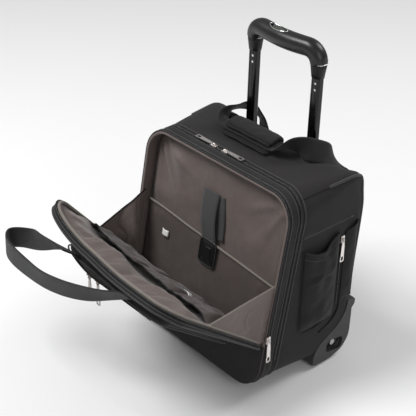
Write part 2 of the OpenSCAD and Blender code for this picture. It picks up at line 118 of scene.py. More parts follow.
# ---------------------------------------------------------------- materials
class Nodes:
    """A small helper for building node trees."""

    def __init__(self, name):
        self.mat = bpy.data.materials.new(name)
        self.mat.use_nodes = True
        self.tree = self.mat.node_tree
        self.shader = self.tree.nodes["Principled BSDF"]

    def feed(self, node, inputs):
        """Set or link each input by its name or number."""
        for key, value in inputs.items():
            if isinstance(value, bpy.types.NodeSocket):
                self.tree.links.new(value, node.inputs[key])
            else:
                node.inputs[key].default_value = value

    def add(self, kind, inputs=None, **settings):
        """A new node with those inputs; gives its outputs."""
        node = self.tree.nodes.new("ShaderNode" + kind)
        for key, value in settings.items():
            setattr(node, key, value)
        self.feed(node, inputs or {})
        return node.outputs

    def math(self, operation, a, b=0.5):
        return self.add("Math", {0: a, 1: b}, operation=operation)[0]

    def noise(self, coords, scale, detail=2.0, rough=0.5):
        return self.add("TexNoise", {"Vector": coords, "Scale": scale, "Detail": detail, "Roughness": rough})[0]

    def ramp(self, value, low, high, low_out, high_out):
        return self.add("MapRange", {"Value": value, "From Min": low, "From Max": high,
                                     "To Min": low_out, "To Max": high_out})[0]

    def tone(self, color, factor):
        self.set(Base_Color=self.add("VectorMath", {0: color, "Scale": factor}, operation="SCALE")[0])

    def bump(self, heights):
        """heights: list of (height socket, distance in metres, strength)."""
        last = {}
        for height, distance, strength in heights:
            last = {"Normal": self.add("Bump", {"Distance": distance, "Strength": strength,
                                                "Height": height, **last})[0]}
        self.set(**last)

    def set(self, **values):
        self.feed(self.shader, {key.replace("_", " "): value for key, value in values.items()})


def cloth(name, color, period, bump, rough=0.85, sheen=0.2, mottle=0.12, creases=0.0):
    """Woven fabric: a basket weave that needs no UVs, yarn-to-yarn variation and slow fading."""
    n = Nodes(name)
    place = n.add("TexCoord")["Object"]
    k = 2 * math.pi / period
    wave = [n.math("SINE", n.math("MULTIPLY", out, k)) for out in n.add("SeparateXYZ", {0: place})]
    pair = [n.math("MULTIPLY", wave[a], wave[b]) for a, b in ((0, 1), (1, 2), (2, 0))]
    weave = n.math("ADD", n.math("ADD", pair[0], pair[1]), pair[2])
    yarn = n.noise(place, 0.9 / period, 2)
    fade = n.noise(place, 14, 3, 0.6)
    factor = n.math("ADD", n.ramp(fade, 0.25, 0.75, 1 - mottle, 1 + mottle),
                    n.ramp(yarn, 0.2, 0.8, -0.13, 0.13))
    factor = n.math("ADD", factor, n.ramp(weave, -1, 1, -0.1, 0.1))
    n.tone(color, factor)
    n.set(Roughness=rough, Sheen_Weight=sheen, Sheen_Roughness=0.45, Specular_IOR_Level=0.25)
    heights = [(weave, period * 0.25, bump), (yarn, period * 0.3, bump)]
    if creases:
        heights.append((n.noise(place, 38, 3, 0.55), 0.0012, creases))
    if creases > 0.6:
        heights.append((n.noise(place, 19, 2, 0.5), 0.004, 0.5))
    n.bump(heights)
    return n.mat


def webbing_mat(name, color, rib=0.0011):
    """Woven webbing: ribs across the strap and raised lines along it, from the strap's own UVs."""
    n = Nodes(name)
    place = n.add("TexCoord")
    uv = n.add("SeparateXYZ", {0: place["UV"]})
    k = 2 * math.pi / rib
    along = n.math("SINE", n.math("MULTIPLY", uv[1], k))
    across = n.math("SINE", n.math("MULTIPLY", uv[0], k * 0.5))
    rows = n.math("MULTIPLY", along, across)
    grain = n.noise(place["Object"], 900, 2)
    fade = n.noise(place["Object"], 20, 2)
    factor = n.math("ADD", n.ramp(rows, -1, 1, 0.82, 1.16), n.ramp(fade, 0.3, 0.7, -0.12, 0.12))
    factor = n.math("ADD", factor, n.ramp(grain, 0.2, 0.8, -0.1, 0.1))
    n.tone(color, factor)
    n.set(Roughness=0.7, Sheen_Weight=0.15, Sheen_Roughness=0.4, Specular_IOR_Level=0.35)
    n.bump([(rows, rib * 0.3, 0.7), (grain, 0.0003, 0.3)])
    return n.mat


def moulded(name, color, rough, grain=0.3, grain_scale=1400, metallic=0.0, wear=0.25, coat=0.0,
            specular=0.5):
    """Moulded plastic, rubber or plated metal: fine grain, uneven gloss and paler worn edges."""
    n = Nodes(name)
    place = n.add("TexCoord")["Object"]
    fine = n.noise(place, grain_scale, 2)
    broad = n.noise(place, 30, 3, 0.6)
    edge = n.add("NewGeometry")["Pointiness"]
    factor = n.math("ADD", n.ramp(broad, 0.3, 0.7, 0.92, 1.08), n.ramp(edge, 0.52, 0.62, 0, wear))
    n.tone(color, factor)
    gloss = n.ramp(broad, 0.3, 0.7, max(rough - 0.06, 0.02), rough + 0.08)
    n.set(Roughness=gloss, Metallic=metallic, Coat_Weight=coat, Coat_Roughness=0.12,
          Specular_IOR_Level=specular)
    n.bump([(fine, 0.0002, grain)])
    return n.mat


def brushed(name, color, rough):
    """Drawn tube: fine scratches along its length."""
    n = Nodes(name)
    stretch = n.add("Mapping", {"Vector": n.add("TexCoord")["Object"], "Scale": (1, 1, 0.02)})[0]
    lines = n.noise(stretch, 2200, 2)
    n.tone(color, n.ramp(lines, 0.3, 0.7, 0.9, 1.1))
    n.set(Roughness=n.ramp(lines, 0.3, 0.7, rough - 0.04, rough + 0.06), Metallic=0.85, Coat_Weight=0.3,
          Coat_Roughness=0.08)
    n.bump([(lines, 0.00005, 0.15)])
    return n.mat


MAT = {
    "body": cloth("nylon", (0.0185, 0.0168, 0.018), 0.0014, 0.35, sheen=0.06, creases=0.25),
    "band": cloth("nylon_band", (0.017, 0.0165, 0.017), 0.0014, 0.35, sheen=0.06),
    "pocket": cloth("nylon_pocket", (0.0145, 0.0138, 0.0145), 0.0014, 0.35, sheen=0.06, creases=0.5),
    "lining": cloth("lining", (0.128, 0.101, 0.092), 0.0009, 0.2, 0.5, 0.2, 0.12, 0.9),
    # lining_shade is a darker copy of the lining: painted shade for the sleeve panel, organizer, board cover
    # and the shell's inner side
    "lining_painted_shade": cloth("lining_shade", (0.078, 0.062, 0.057), 0.0009, 0.2, 0.55, 0.15, 0.12, 0.9),
    "rim": cloth("rim_binding", (0.2, 0.175, 0.155), 0.0008, 0.4, 0.8, 0.2),
    "piping": cloth("piping", (0.034, 0.033, 0.034), 0.0009, 0.4, 0.6, 0.2),
    "tape": cloth("zip_tape", (0.0085, 0.0085, 0.009), 0.0008, 0.5, 0.85, 0.05),
    "webbing": webbing_mat("webbing", (0.0085, 0.0084, 0.0088)),
    "strap": webbing_mat("strap_webbing", (0.052, 0.051, 0.052)),
    "wrap": cloth("wrap_fabric", (0.0115, 0.011, 0.0115), 0.0014, 0.5, sheen=0.06, creases=0.5),
    "thread": cloth("thread", (0.06, 0.06, 0.06), 0.0005, 0.3),
    "teeth": moulded("zip_teeth", (0.012, 0.012, 0.013), 0.3, 0.1),
    "plastic": moulded("grained_plastic", (0.034, 0.034, 0.035), 0.5, 0.5, 1100, specular=0.4),
    "tyre": moulded("tyre_rubber", (0.012, 0.012, 0.013), 0.62, 0.4, 700, wear=0.1),
    "grip": moulded("grip_rubber", (0.011, 0.011, 0.012), 0.33, 0.1, 1500, wear=0.0, specular=0.45),
    "collar": moulded("collar_black", (0.007, 0.007, 0.007), 0.42, 0.5, 1200, wear=0.0, specular=0.3),
    "button": moulded("button_gloss", (0.05, 0.053, 0.045), 0.36, 0.05, wear=0.1, coat=0.2),
    "tab": moulded("tab_rubber", (0.007, 0.007, 0.0075), 0.34, 0.3, 900, wear=0.1),
    "steel": moulded("steel", (0.55, 0.55, 0.56), 0.3, 0.1, metallic=1.0, wear=0.1),
    "chrome": moulded("chrome", (0.8, 0.8, 0.81), 0.2, 0.03, metallic=1.0, wear=0.05),
    "nickel": moulded("nickel", (0.78, 0.74, 0.72), 0.34, 0.08, metallic=1.0, wear=0.1),
    "nickel_dark": moulded("black_nickel", (0.3, 0.28, 0.27), 0.36, 0.08, metallic=1.0, wear=0.3),
    "tube": brushed("anodised_tube", (0.013, 0.013, 0.014), 0.16),
    "tag": cloth("blank_tag", (0.8, 0.79, 0.77), 0.0006, 0.2),
}


# ---------------------------------------------------------------- mesh helpers
def unit(v):
    v = np.asarray(v, float)
    return v / np.maximum(np.linalg.norm(v, axis=-1, keepdims=True), 1e-12)


def step(t):
    t = np.clip(t, 0, 1)
    return t * t * (3 - 2 * t)


def bell(x, middle, width):
    return np.exp(-(((x - middle) / width) ** 2))


def ripple(a, b, seed, scale):
    """Smooth wandering noise from a few fixed waves, about -1 to 1."""
    total = 0
    for i in range(5):
        turn = seed * 1.7 + i * 2.4
        k = (1 + 0.45 * i) * 2 * math.pi / scale
        total = total + np.sin(k * (a * math.cos(turn) + b * math.sin(turn)) + seed + i) / (1 + 0.5 * i)
    return total / 2.6


def make(name, verts, faces, mats, face_mats=None, uvs=None):
    mesh = bpy.data.meshes.new(name)
    mesh.from_pydata([tuple(map(float, v)) for v in verts], [], [tuple(map(int, f)) for f in faces])
    for m in mats:
        mesh.materials.append(MAT[m])
    if face_mats is not None:
        mesh.polygons.foreach_set("material_index", np.asarray(face_mats, np.int32))
    if uvs is not None:
        layer = mesh.uv_layers.new(name="UVMap")
        index = np.zeros(len(mesh.loops), np.int32)
        mesh.loops.foreach_get("vertex_index", index)
        layer.data.foreach_set("uv", np.asarray(uvs, np.float32)[index].ravel())
    mesh.polygons.foreach_set("use_smooth", np.ones(len(mesh.polygons), bool))
    mesh.update()
    obj = bpy.data.objects.new(name, mesh)
    scene.collection.objects.link(obj)
    return obj


def outward(obj):
    work = bmesh.new()
    work.from_mesh(obj.data)
    bmesh.ops.recalc_face_normals(work, faces=work.faces)
    if work.calc_volume(signed=True) < 0:
        bmesh.ops.reverse_faces(work, faces=work.faces)
    work.to_mesh(obj.data)
    work.free()
    return obj


def lengths(p):
    return np.concatenate([[0], np.cumsum(np.linalg.norm(np.diff(p, axis=0), axis=1))])


def grid(name, p, mats, wrap_rows=False, wrap_cols=False, caps=False, lined_from=None):
    """Quads over p[row, col]. Faces from row lined_from on take the second material."""
    rows, cols = p.shape[:2]
    faces, tints = [], []
    for i in range(rows - (not wrap_rows)):
        k = (i + 1) % rows
        for j in range(cols - (not wrap_cols)):
            n = (j + 1) % cols
            faces.append((i * cols + j, i * cols + n, k * cols + n, k * cols + j))
            tints.append(int(lined_from is not None and i >= lined_from))
    if caps:
        faces += [tuple(range(cols))[::-1], tuple((rows - 1) * cols + j for j in range(cols))]
        tints += [tints[0], tints[-1]]
    uvs = np.stack(np.meshgrid(lengths(p[0]), lengths(p[:, 0])), -1).reshape(-1, 2)
    return outward(make(name, p.reshape(-1, 3), faces, mats, tints, uvs))


def sheet_mesh(name, p, thick, mat):
    """A closed sheet of that thickness over the open grid p, which is its outer side."""
    rows, cols = p.shape[:2]
    du, dv = np.gradient(p, axis=1), np.gradient(p, axis=0)
    normal = unit(np.cross(du, dv))
    loop = np.concatenate([p, (p - normal * thick)[::-1]], 0)
    total = 2 * rows
    faces = []
    for i in range(total):
        n = (i + 1) % total
        faces += [(i * cols + j, i * cols + j + 1, n * cols + j + 1, n * cols + j) for j in range(cols - 1)]
    for j in (0, cols - 1):
        for i in range(rows - 1):
            faces.append(tuple(k * cols + j for k in (i, i + 1, total - 2 - i, total - 1 - i)))
    v, u = lengths(p[:, cols // 2]), lengths(p[rows // 2])
    uvs = np.stack(np.meshgrid(u, np.concatenate([v, v[::-1]])), -1).reshape(-1, 2)
    return outward(make(name, loop.reshape(-1, 3), faces, [mat], None, uvs))


def sweep_points(path, section, side, closed=False):
    """Section points (across, off) carried along path. side is the across direction at each point."""
    path = np.asarray(path, float)
    if closed:
        tangent = unit(np.roll(path, -1, 0) - np.roll(path, 1, 0))
    else:
        tangent = unit(np.gradient(path, axis=0))
    side = np.broadcast_to(np.asarray(side, float), path.shape)
    side = unit(side - tangent * (side * tangent).sum(1, keepdims=True))
    off = np.cross(tangent, side)
    section = np.asarray(section, float)
    if section.ndim == 2:
        section = np.broadcast_to(section, (len(path),) + section.shape)
    return path[:, None] + side[:, None] * section[..., :1] + off[:, None] * section[..., 1:]


def sweep(name, path, section, side, mat, closed=False):
    return grid(name, sweep_points(path, section, side, closed), [mat], closed, True, not closed)


def circle(r, n=8, flat=1.0):
    a = np.arange(n) * 2 * math.pi / n
    return np.stack([r * np.cos(a), r * flat * np.sin(a)], 1)


def strap_section(w, t, n=9):
    """Flat strap with slightly raised, rounded edges."""
    x = np.linspace(-w / 2, w / 2, n)
    lip = 0.15 * t * (np.abs(x) > w * 0.42)
    top = np.stack([x, t / 2 + lip - t * 0.3 * (np.abs(x) > w * 0.49)], 1)
    return np.concatenate([top, (top * [1, -1])[::-1]])


def smooth(points, steps):
    p = np.asarray(points, float)
    q = np.concatenate([p[:1], p, p[-1:]])
    out = []
    for i in range(len(p) - 1):
        a, b, c, d = q[i:i + 4]
        for t in np.arange(steps) / steps:
            out.append(0.5 * (2 * b + (c - a) * t + (2 * a - 5 * b + 4 * c - d) * t * t
                              + (3 * b - a - 3 * c + d) * t ** 3))
    return np.array(out + [p[-1]])


def resample(path, gap):
    path = np.asarray(path, float)
    s = lengths(path)
    n = max(int(s[-1] / gap), 2)
    t = np.linspace(0, s[-1], n + 1)
    return np.stack([np.interp(t, s, path[:, k]) for k in range(path.shape[1])], 1)


def coil(name, path, off, r):
    """Zip teeth: a fine ribbed bead along path."""
    fine = resample(path, 0.0006)
    off = np.broadcast_to(np.asarray(off, float), (len(path), 3))
    side = resample(np.concatenate([path, off], 1), 0.0006)[: len(fine), 3:]
    swell = 1 + 0.28 * np.sin(np.arange(len(fine)) * math.pi / 2)
    return sweep(name, fine, circle(r, 6)[None] * swell[:, None, None], unit(side), "teeth")


def stitches(name, path, off, body):
    """A row of thread dashes that stand on a surface, off along its normal."""
    length, gap, w = 0.0034, 0.0018, 0.0005
    path = resample(path, 0.0008)
    s = lengths(path)
    tangent = unit(np.gradient(path, axis=0))
    verts, faces = [], []
    at = gap
    while at + length < s[-1]:
        i, j = np.searchsorted(s, at), min(np.searchsorted(s, at + length), len(path) - 1)
        side = unit(np.cross(tangent[i], off))
        base = len(verts)
        for k, tall in ((i, 0.2), ((i + j) // 2, 1), (j, 0.2)):
            for c, h in ((-w, 0), (-w * 0.6, w * tall), (w * 0.6, w * tall), (w, 0)):
                verts.append(path[k] + side * c + np.asarray(off) * h)
        for r in range(2):
            for c in range(4):
                faces.append((base + 4 * r + c, base + 4 * r + (c + 1) % 4,
                              base + 4 * (r + 1) + (c + 1) % 4, base + 4 * (r + 1) + c))
        faces += [(base + 3, base + 2, base + 1, base), (base + 8, base + 9, base + 10, base + 11)]
        at += length + gap
    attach(outward(make(name, verts, faces, ["thread"])), body)


def place(obj, body, slot, *stands_for):
    """obj rides on that body, in place of those CAD nodes. slot is not used."""
    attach(obj, body)
    if stands_for:
        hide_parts(*stands_for)
    return obj


def trim(name, path, section, side, mat, body, slot, *stands_for, closed=False):
    """A swept piece, placed."""
    return place(sweep(name, path, section, side, mat, closed), body, slot, *stands_for)


def applied(obj):
    """obj with its modifiers made real."""
    graph = bpy.context.evaluated_depsgraph_get()
    fresh = bpy.data.meshes.new_from_object(obj.evaluated_get(graph))
    old = obj.data
    obj.modifiers.clear()
    obj.data = fresh
    bpy.data.meshes.remove(old)
    return obj


def cut(obj, cutter):
    mod = obj.modifiers.new("cut", "BOOLEAN")
    mod.operation = "DIFFERENCE"
    mod.solver = "EXACT"
    mod.object = cutter
    applied(obj)
    bpy.data.objects.remove(cutter)


def shade_smooth(obj):
    obj.data.polygons.foreach_set("use_smooth", np.ones(len(obj.data.polygons), bool))


def points_of(obj):
    co = np.zeros(len(obj.data.vertices) * 3)
    obj.data.vertices.foreach_get("co", co)
    return co.reshape(-1, 3)


def set_points(obj, co):
    obj.data.vertices.foreach_set("co", np.asarray(co, np.float32).ravel())
    obj.data.update()


def inflate(obj, pressure, cap, hold=None, voxel=0.005):
    """Cloth simulation of a stuffed form: it swells, no point further than cap, hold() weights 0 to 1."""
    mod = obj.modifiers.new("remesh", "REMESH")
    mod.mode = "VOXEL"
    mod.voxel_size = voxel
    applied(obj)
    before = after = points_of(obj)
    mod = obj.modifiers.new("cloth", "CLOTH")
    mod.settings.use_pressure = True
    mod.settings.uniform_pressure_force = pressure
    mod.settings.effector_weights.gravity = 0
    for f in range(1, 21):
        scene.frame_set(f)
    applied(obj)
    after = points_of(obj)
    move = after - before
    size = np.linalg.norm(move, axis=1, keepdims=True)
    move *= np.minimum(1, cap / np.maximum(size, 1e-9))
    if hold is not None:
        move *= hold(before)[:, None]
    set_points(obj, before + move)
    scene.frame_set(1)
    shade_smooth(obj)
    mod = obj.modifiers.new("smooth", "SUBSURF")
    mod.levels = mod.render_levels = 1
    return applied(obj)


def paint_all(obj, mat):
    obj.data.materials.clear()
    obj.data.materials.append(MAT[mat])
    obj.data.polygons.foreach_set("material_index", np.zeros(len(obj.data.polygons), np.int32))
    return obj


# ---------------------------------------------------------------- the case outline
STRAIGHT, BEND = 40, 18


def rounded(half, low, high, low_r, high_r, counts):
    """Points and outward normals round a rectangle with rounded corners, from its lower left corner.

    counts gives the number of points on each straight. A corner has BEND points.
    """
    corners = [(half - low_r, low + low_r, low_r), (half - high_r, high - high_r, high_r),
               (-half + high_r, high - high_r, high_r), (-half + low_r, low + low_r, low_r)]
    pts, nrm = [], []
    for k, count in enumerate(counts):
        centre, before = np.array(corners[k][:2]), np.array(corners[k - 1][:2])
        a0 = (k - 1) * math.pi / 2
        n = np.array([math.cos(a0), math.sin(a0)])
        start, end = before + n * corners[k - 1][2], centre + n * corners[k][2]
        for t in np.arange(count) / count:
            pts.append(start + (end - start) * t)
            nrm.append(n)
        for a in a0 + (np.arange(BEND) / BEND) * math.pi / 2:
            n = np.array([math.cos(a), math.sin(a)])
            pts.append(centre + n * corners[k][2])
            nrm.append(n)
    return np.array(pts), np.array(nrm)


def outline(inset=0.0, r=CORNER_R, half=HALF_W, low=BASE_Z, high=TOP_Z):
    """Points and outward normals round the front view, from the bottom centre towards +X."""
    r = max(r - inset, 0.002)
    pts, nrm = rounded(half - inset, low + inset, high - inset, r, r, [STRAIGHT] * 4)
    return np.roll(pts, -STRAIGHT // 2, 0), np.roll(nrm, -STRAIGHT // 2, 0)


def ring(inset, d, **k):
    """The outline as 3-D points, d behind the slanted front plane, and its outward directions."""
    p, n = outline(inset, **k)
    return (np.stack([p[:, 0], front_y(p[:, 1]) + d, p[:, 1]], 1),
            np.stack([n[:, 0], n[:, 0] * 0, n[:, 1]], 1))


BACKWARD = (0, 1, 0)
FABRIC = ("case", "body_fabric")
SIDES = ((1, "right"), (-1, "left"))

# ---------------------------------------------------------------- main shell
REAR_R = 0.014
TUBE_X = 0.0717


def shell_rows(inset, wavy):
    """Loops round the case from behind the section to the middle of the back."""
    front, _ = outline(inset)
    rear, normal = outline(inset, r=REAR_R)
    y0 = front_y(front[:, 1]) + 0.0289 + (0.0004 if inset else 0)
    depth = BACK_Y - inset
    high_up = np.maximum(np.clip(normal[:, 1], 0, 1) ** 2, step((rear[:, 1] - TOP_Z + 0.062) / 0.045))
    round_r = 0.014 + 0.016 * high_up + 0.008 * np.clip(-normal[:, 1], 0, 1) ** 2
    round_r = np.maximum(round_r - inset, 0.004)
    rows = []
    for t in np.linspace(0, 1, 34):
        xz = front + (rear - front) * t
        y = y0 + (depth - round_r - y0) * t
        if wavy:
            side = np.abs(normal[:, 0])
            top = np.clip(normal[:, 1], 0, 1)
            puff = 0.0013 * side - 0.0011 * top
            soft = math.sin(math.pi * min(t * 1.15, 1)) * puff
            soft = soft + 0.0005 * ripple(xz[:, 0] + xz[:, 1], y, 3, 0.11) * math.sin(math.pi * t)
            groove = -0.0007 * bell(y, front_y(xz[:, 1]) + 0.040, 0.0016)
            xz = xz + normal * (soft + groove)[:, None]
        rows.append(np.stack([xz[:, 0], y, xz[:, 1]], 1))
    for a in np.linspace(0, math.pi / 2, 9)[1:]:
        side_in, top_in, low_in = (d * (1 - math.cos(a)) for d in (0.014, 0.030, 0.022))
        xz, _ = outline(inset, max(REAR_R - side_in * 0.5, 0.007), HALF_W - side_in, BASE_Z + low_in,
                        TOP_Z - top_in)
        rows.append(np.stack([xz[:, 0], depth - round_r + round_r * math.sin(a), xz[:, 1]], 1))
    edge = rows[-1]
    for k in np.linspace(1, 0.03, 14)[1:]:
        x, z = edge[:, 0] * k, 0.18 + (edge[:, 2] - 0.18) * k
        dip = 0.0015 * ripple(x, z, 5, 0.2) * (1 - k) if wavy else 0
        rows.append(np.stack([x, edge[:, 1] + dip, z], 1))
    rows = np.array(rows)
    far = np.clip((rows[..., 1] - 0.02) / 0.14, 0, 1) ** 2
    corner = step((np.abs(rows[..., 0]) - 0.137) / 0.025) * step((rows[..., 2] - 0.12) / 0.2)
    rows[..., 1] += 0.011 * far * corner
    return rows


def extruded(name, outline_yz, x0, x1):
    """A solid with that (y, z) outline between x0 and x1."""
    n = len(outline_yz)
    verts = [(x, y, z) for x in (x0, x1) for y, z in outline_yz]
    faces = [tuple(range(n))[::-1], tuple(range(n, 2 * n))]
    faces += [(i, (i + 1) % n, n + (i + 1) % n, n + i) for i in range(n)]
    return outward(make(name, verts, faces, ["body"]))


def bowed(obj, front):
    """Bends the part of the grip's recess ahead of y = front forward, to clear the bowed grip."""
    bm = bmesh.new()
    bm.from_mesh(obj.data)
    for x in np.linspace(-TUBE_X, TUBE_X, 19):
        bmesh.ops.bisect_plane(bm, geom=bm.verts[:] + bm.edges[:] + bm.faces[:],
                               plane_co=(x, 0, 0), plane_no=(1, 0, 0))
    bm.to_mesh(obj.data)
    bm.free()
    co = points_of(obj)
    share = np.clip(co[:, 0] / (2 * TUBE_X) + 0.5, 0, 1)
    co[:, 1] -= (co[:, 1] < front) * 0.0085 * np.sin(math.pi * share) ** 1.5
    set_points(obj, co)
    return obj


outer, inner = shell_rows(0, True), shell_rows(WALL, False)
# the shell's inner side takes the darker lining copy, which is painted shade
shell = grid("case_shell", np.concatenate([outer[::-1], inner]), ["body", "lining_painted_shade"],
             wrap_cols=True, caps=True, lined_from=len(outer))
cut(shell, bowed(extruded("cutter", [(0.1245, 0.2965), (0.3, 0.2965), (0.3, 0.6), (0.1245, 0.6)],
                          -0.1145, 0.1145), 0.125))
housing = np.array([[78, 8], [80, 29], [92, 45], [110, 55], [128, 65], [142, 78], [151, 94],
                    [154, 110]]) / 1000
housing = np.concatenate([smooth(housing, 4), [[0.3, 0.110], [0.3, -0.05], [0.084, -0.05]]])
for sign in (1, -1):
    cut(shell, extruded("cutter", housing, *sorted((sign * 0.131, sign * 0.2))))
shade_smooth(shell)
place(shell, "case", "body_fabric", "main_shell")
shell.modifiers.new("edges", "EDGE_SPLIT").split_angle = math.radians(40)


def lined_copy(name, node, mat, width):
    """The CAD node's own solid with its edges bevelled."""
    obj = bpy.data.objects.new(name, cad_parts[node].data.copy())
    scene.collection.objects.link(obj)
    paint_all(obj, mat)
    bevel = obj.modifiers.new("bevel", "BEVEL")
    bevel.width = width
    bevel.segments = 3
    bevel.angle_limit = math.radians(30)
    return place(applied(obj), "case", "panel_board", node)


bowed(lined_copy("tray_lining", "grip_tray", "band", 0.0011), 0.1285)
# the board cover takes the darker lining copy, which is painted shade
lined_copy("board_cover", "back_board", "lining_painted_shade", 0.0009)


def tucked(path):
    """path with its bends eased by a running mean over nine points."""
    spread = 4
    kernel = np.ones(2 * spread + 1) / (2 * spread + 1)
    padded = np.concatenate([path[:1]] * spread + [path] + [path[-1:]] * spread)
    return np.stack([np.convolve(padded[:, k], kernel, "valid") for k in range(3)], 1)


# binding along the edge between the top and each side, round the rear corner and down the rear edge
for sign, tag in SIDES:
    column = 87 if sign > 0 else 145
    edge = outer[:38, column]
    down = outer[37, column::-1] if sign > 0 else outer[37, column:]
    down = down[down[:, 2] > 0.113]
    some = (edge[:, 1] > 0.020) & (edge[:, 1] < 0.088)
    trim(f"top_seam_{tag}", resample(edge[some], 0.003), circle(0.0012), (sign, 0, 0), "tape", *FABRIC)
    path = tucked(resample(np.concatenate([edge[edge[:, 1] > 0.085], down[1:]]), 0.0022))
    out = unit(path - [0, 0.08, 0.2])
    path = path + out * 0.0006
    swell = 1 + 0.14 * np.sin(np.arange(len(path)) * math.pi * 0.9)
    trim(f"rear_binding_{tag}", path, circle(0.0025, 10)[None] * swell[:, None, None], out, "piping", *FABRIC)


def side_line(sign, points, lift):
    """A path drawn on a side panel, from (y, z) points in metres."""
    yz = smooth(points, 6)
    return np.stack([np.full(len(yz), sign * (HALF_W + lift)), yz[:, 0], yz[:, 1]], 1)


for sign, tag in SIDES:
    mid_seam = side_line(sign, [(0.027, 0.281), (0.080, 0.281), (0.144, 0.281)], 0.0009)
    trim(f"mid_seam_{tag}", mid_seam, circle(0.0011, 8, 0.6), (0, 0, 1), "piping", *FABRIC)
    stitches(f"mid_seam_stitch_{tag}", mid_seam + [0, 0, 0.0035], (sign, 0, 0), "case")

# ---------------------------------------------------------------- laptop section frame
band_section = [(0.0004, 0.0003), (-0.0006, 0.0062), (-0.0011, 0.0085), (-0.0014, 0.014),
                (-0.0011, 0.0195), (-0.0006, 0.022), (0.0002, 0.0277), (WALL, 0.0279),
                (WALL, 0.014), (WALL, 0.0003)]
loops = [ring(i, d)[0] for i, d in band_section]
around = lengths(loops[0])
wave = 0.0004 * np.sin(around * 2 * math.pi / 0.17)
for k in (2, 3, 4):
    loops[k] = loops[k] + ring(0, 0)[1] * wave[:, None]
band = grid("frame_band", np.array(loops), ["band", "lining"], wrap_rows=True, wrap_cols=True,
            lined_from=6)
place(band, "front_section", "body_fabric", "laptop_frame")

rim_path, rim_n = ring(0.0028, 0.0021)
trim("frame_rim", rim_path, circle(0.0024, 10), rim_n, "lining", "front_section", "lining", closed=True)
for name, inset, d, r, body in (("front_pipe", -0.0011, 0.0074, 0.0013, "front_section"),
                                ("mid_pipe", -0.0009, 0.0213, 0.0012, "front_section"),
                                ("rear_pipe", -0.0012, 0.0362, 0.0014, "case")):
    path, n = ring(inset, d)
    trim(name, path, circle(r), n, "piping", body, "body_fabric", closed=True)

ZIP_LOW = 0.064


def zip_side(tag, d_edge, direction, low, body, node):
    """One tape of a zip round the frame: the tape, and its row of teeth at d_edge."""
    path, n = ring(-0.0005, d_edge + direction * 0.0026)
    keep = path[:, 2] >= low
    section = [(-0.0025, -0.0004), (0.0025, -0.0004), (0.0025, 0.0004), (0, 0.0005), (-0.0025, 0.0004)]
    trim(f"{tag}_tape", path[keep], section, BACKWARD, "tape", body, "zip_tape", node)
    path, n = ring(-0.0013, d_edge + direction * 0.0007)
    place(coil(f"{tag}_teeth", path[keep], n[keep], 0.0009), body, "zip_tape")


zip_side("main_zip_case", MAIN_ZIP_D + 0.0003, 1, ZIP_LOW, "case", "main_zip_case_side")
zip_side("main_zip_front", MAIN_ZIP_D - 0.0003, -1, ZIP_LOW, "front_section", "main_zip_front_side")
zip_side("lid_zip_frame", 0.0004, 1, FOLD_Z + 0.004, "front_section", "lid_zip_frame_side")

# ---------------------------------------------------------------- inside the laptop section
xs = np.linspace(-1, 1, 73)
zs = np.linspace(0, 1, 73)


def lined_panel(name, d, inset, low, high, puff, seed, thick, mat, node, slope=0.0):
    """A lining panel across the frame at depth d, with soft puffs and drawn-in corners."""
    rows = []
    for t in zs:
        z = low + (high - low) * t
        half = HALF_W - inset
        for lim, sgn in ((TOP_Z - inset, 1), (BASE_Z + inset, -1)):
            near = sgn * (z - (lim - sgn * (CORNER_R - inset)))
            if near > 0:
                r = CORNER_R - inset
                half = min(half, HALF_W - inset - r + math.sqrt(max(r * r - near * near, 0)))
        x = xs * half
        zz = z + slope * x * t
        edge = np.clip((1 - np.abs(xs)) * 9, 0, 1) * np.clip(t * 9, 0, 1) * np.clip((1 - t) * 9, 0, 1)
        lift = puff * step(edge) * (0.55 + 0.45 * ripple(x, zz, seed, 0.16))
        fold = 0.0032 * puff / 0.003 * bell(ripple(x * 0.6 + zz * 0.25, zz * 0.2, seed + 4, 0.2), 0, 0.14)
        for corner, size in ((-1, 0.0058), (1, 0.0036)):
            dx, dz = x - corner * 0.158, 0.348 - zz
            fan = np.sin(np.arctan2(dz, np.abs(dx) + 0.004) * 13 + 1.1)
            fold = fold + (puff > 0.002) * size * bell(fan, 1, 0.55) * bell(np.hypot(dx, dz), 0.040, 0.055)
        lift = lift + fold * step(edge)
        if node == "laptop_wall":
            drape = 0.0032 * ripple(x * 0.8 + zz * 0.35, zz * 0.8, 8, 0.12) * (1 - bell(x, -0.008, 0.035))
            lift = np.maximum(lift + drape * step(edge), -0.001)
            lift = lift * (0.2 + 0.8 * step((z - 0.2 + 0.07 * x) / 0.035))
        rows.append(np.stack([x, front_y(zz) + d - lift, zz], 1))
    place(sheet_mesh(name, np.array(rows)[:, ::-1], thick, mat), "front_section", "lining", node)


lined_panel("back_wall", SECTION_D - 0.0052, WALL + 0.0004, BASE_Z + 0.0045, TOP_Z - 0.0045,
            0.0036, 1, -0.0035, "lining", "laptop_wall")
# the sleeve panel takes the darker lining copy, which is painted shade
lined_panel("sleeve_panel", SECTION_D - 0.0088, WALL + 0.003, BASE_Z + 0.006, 0.2055,
            0.0016, 6, -0.0018, "lining_painted_shade", "laptop_sleeve", -0.07)

hem_x = np.linspace(-0.164, 0.164, 60)
hem_z = 0.2055 - 0.07 * hem_x
hem = np.stack([hem_x, front_y(hem_z) + SECTION_D - 0.0105 + 0.0008 * ripple(hem_x, 0, 2, 0.12), hem_z], 1)
trim("sleeve_hem", hem, circle(0.0022, 10, 0.75), (0, 0, 1), "rim", "front_section", "lining")

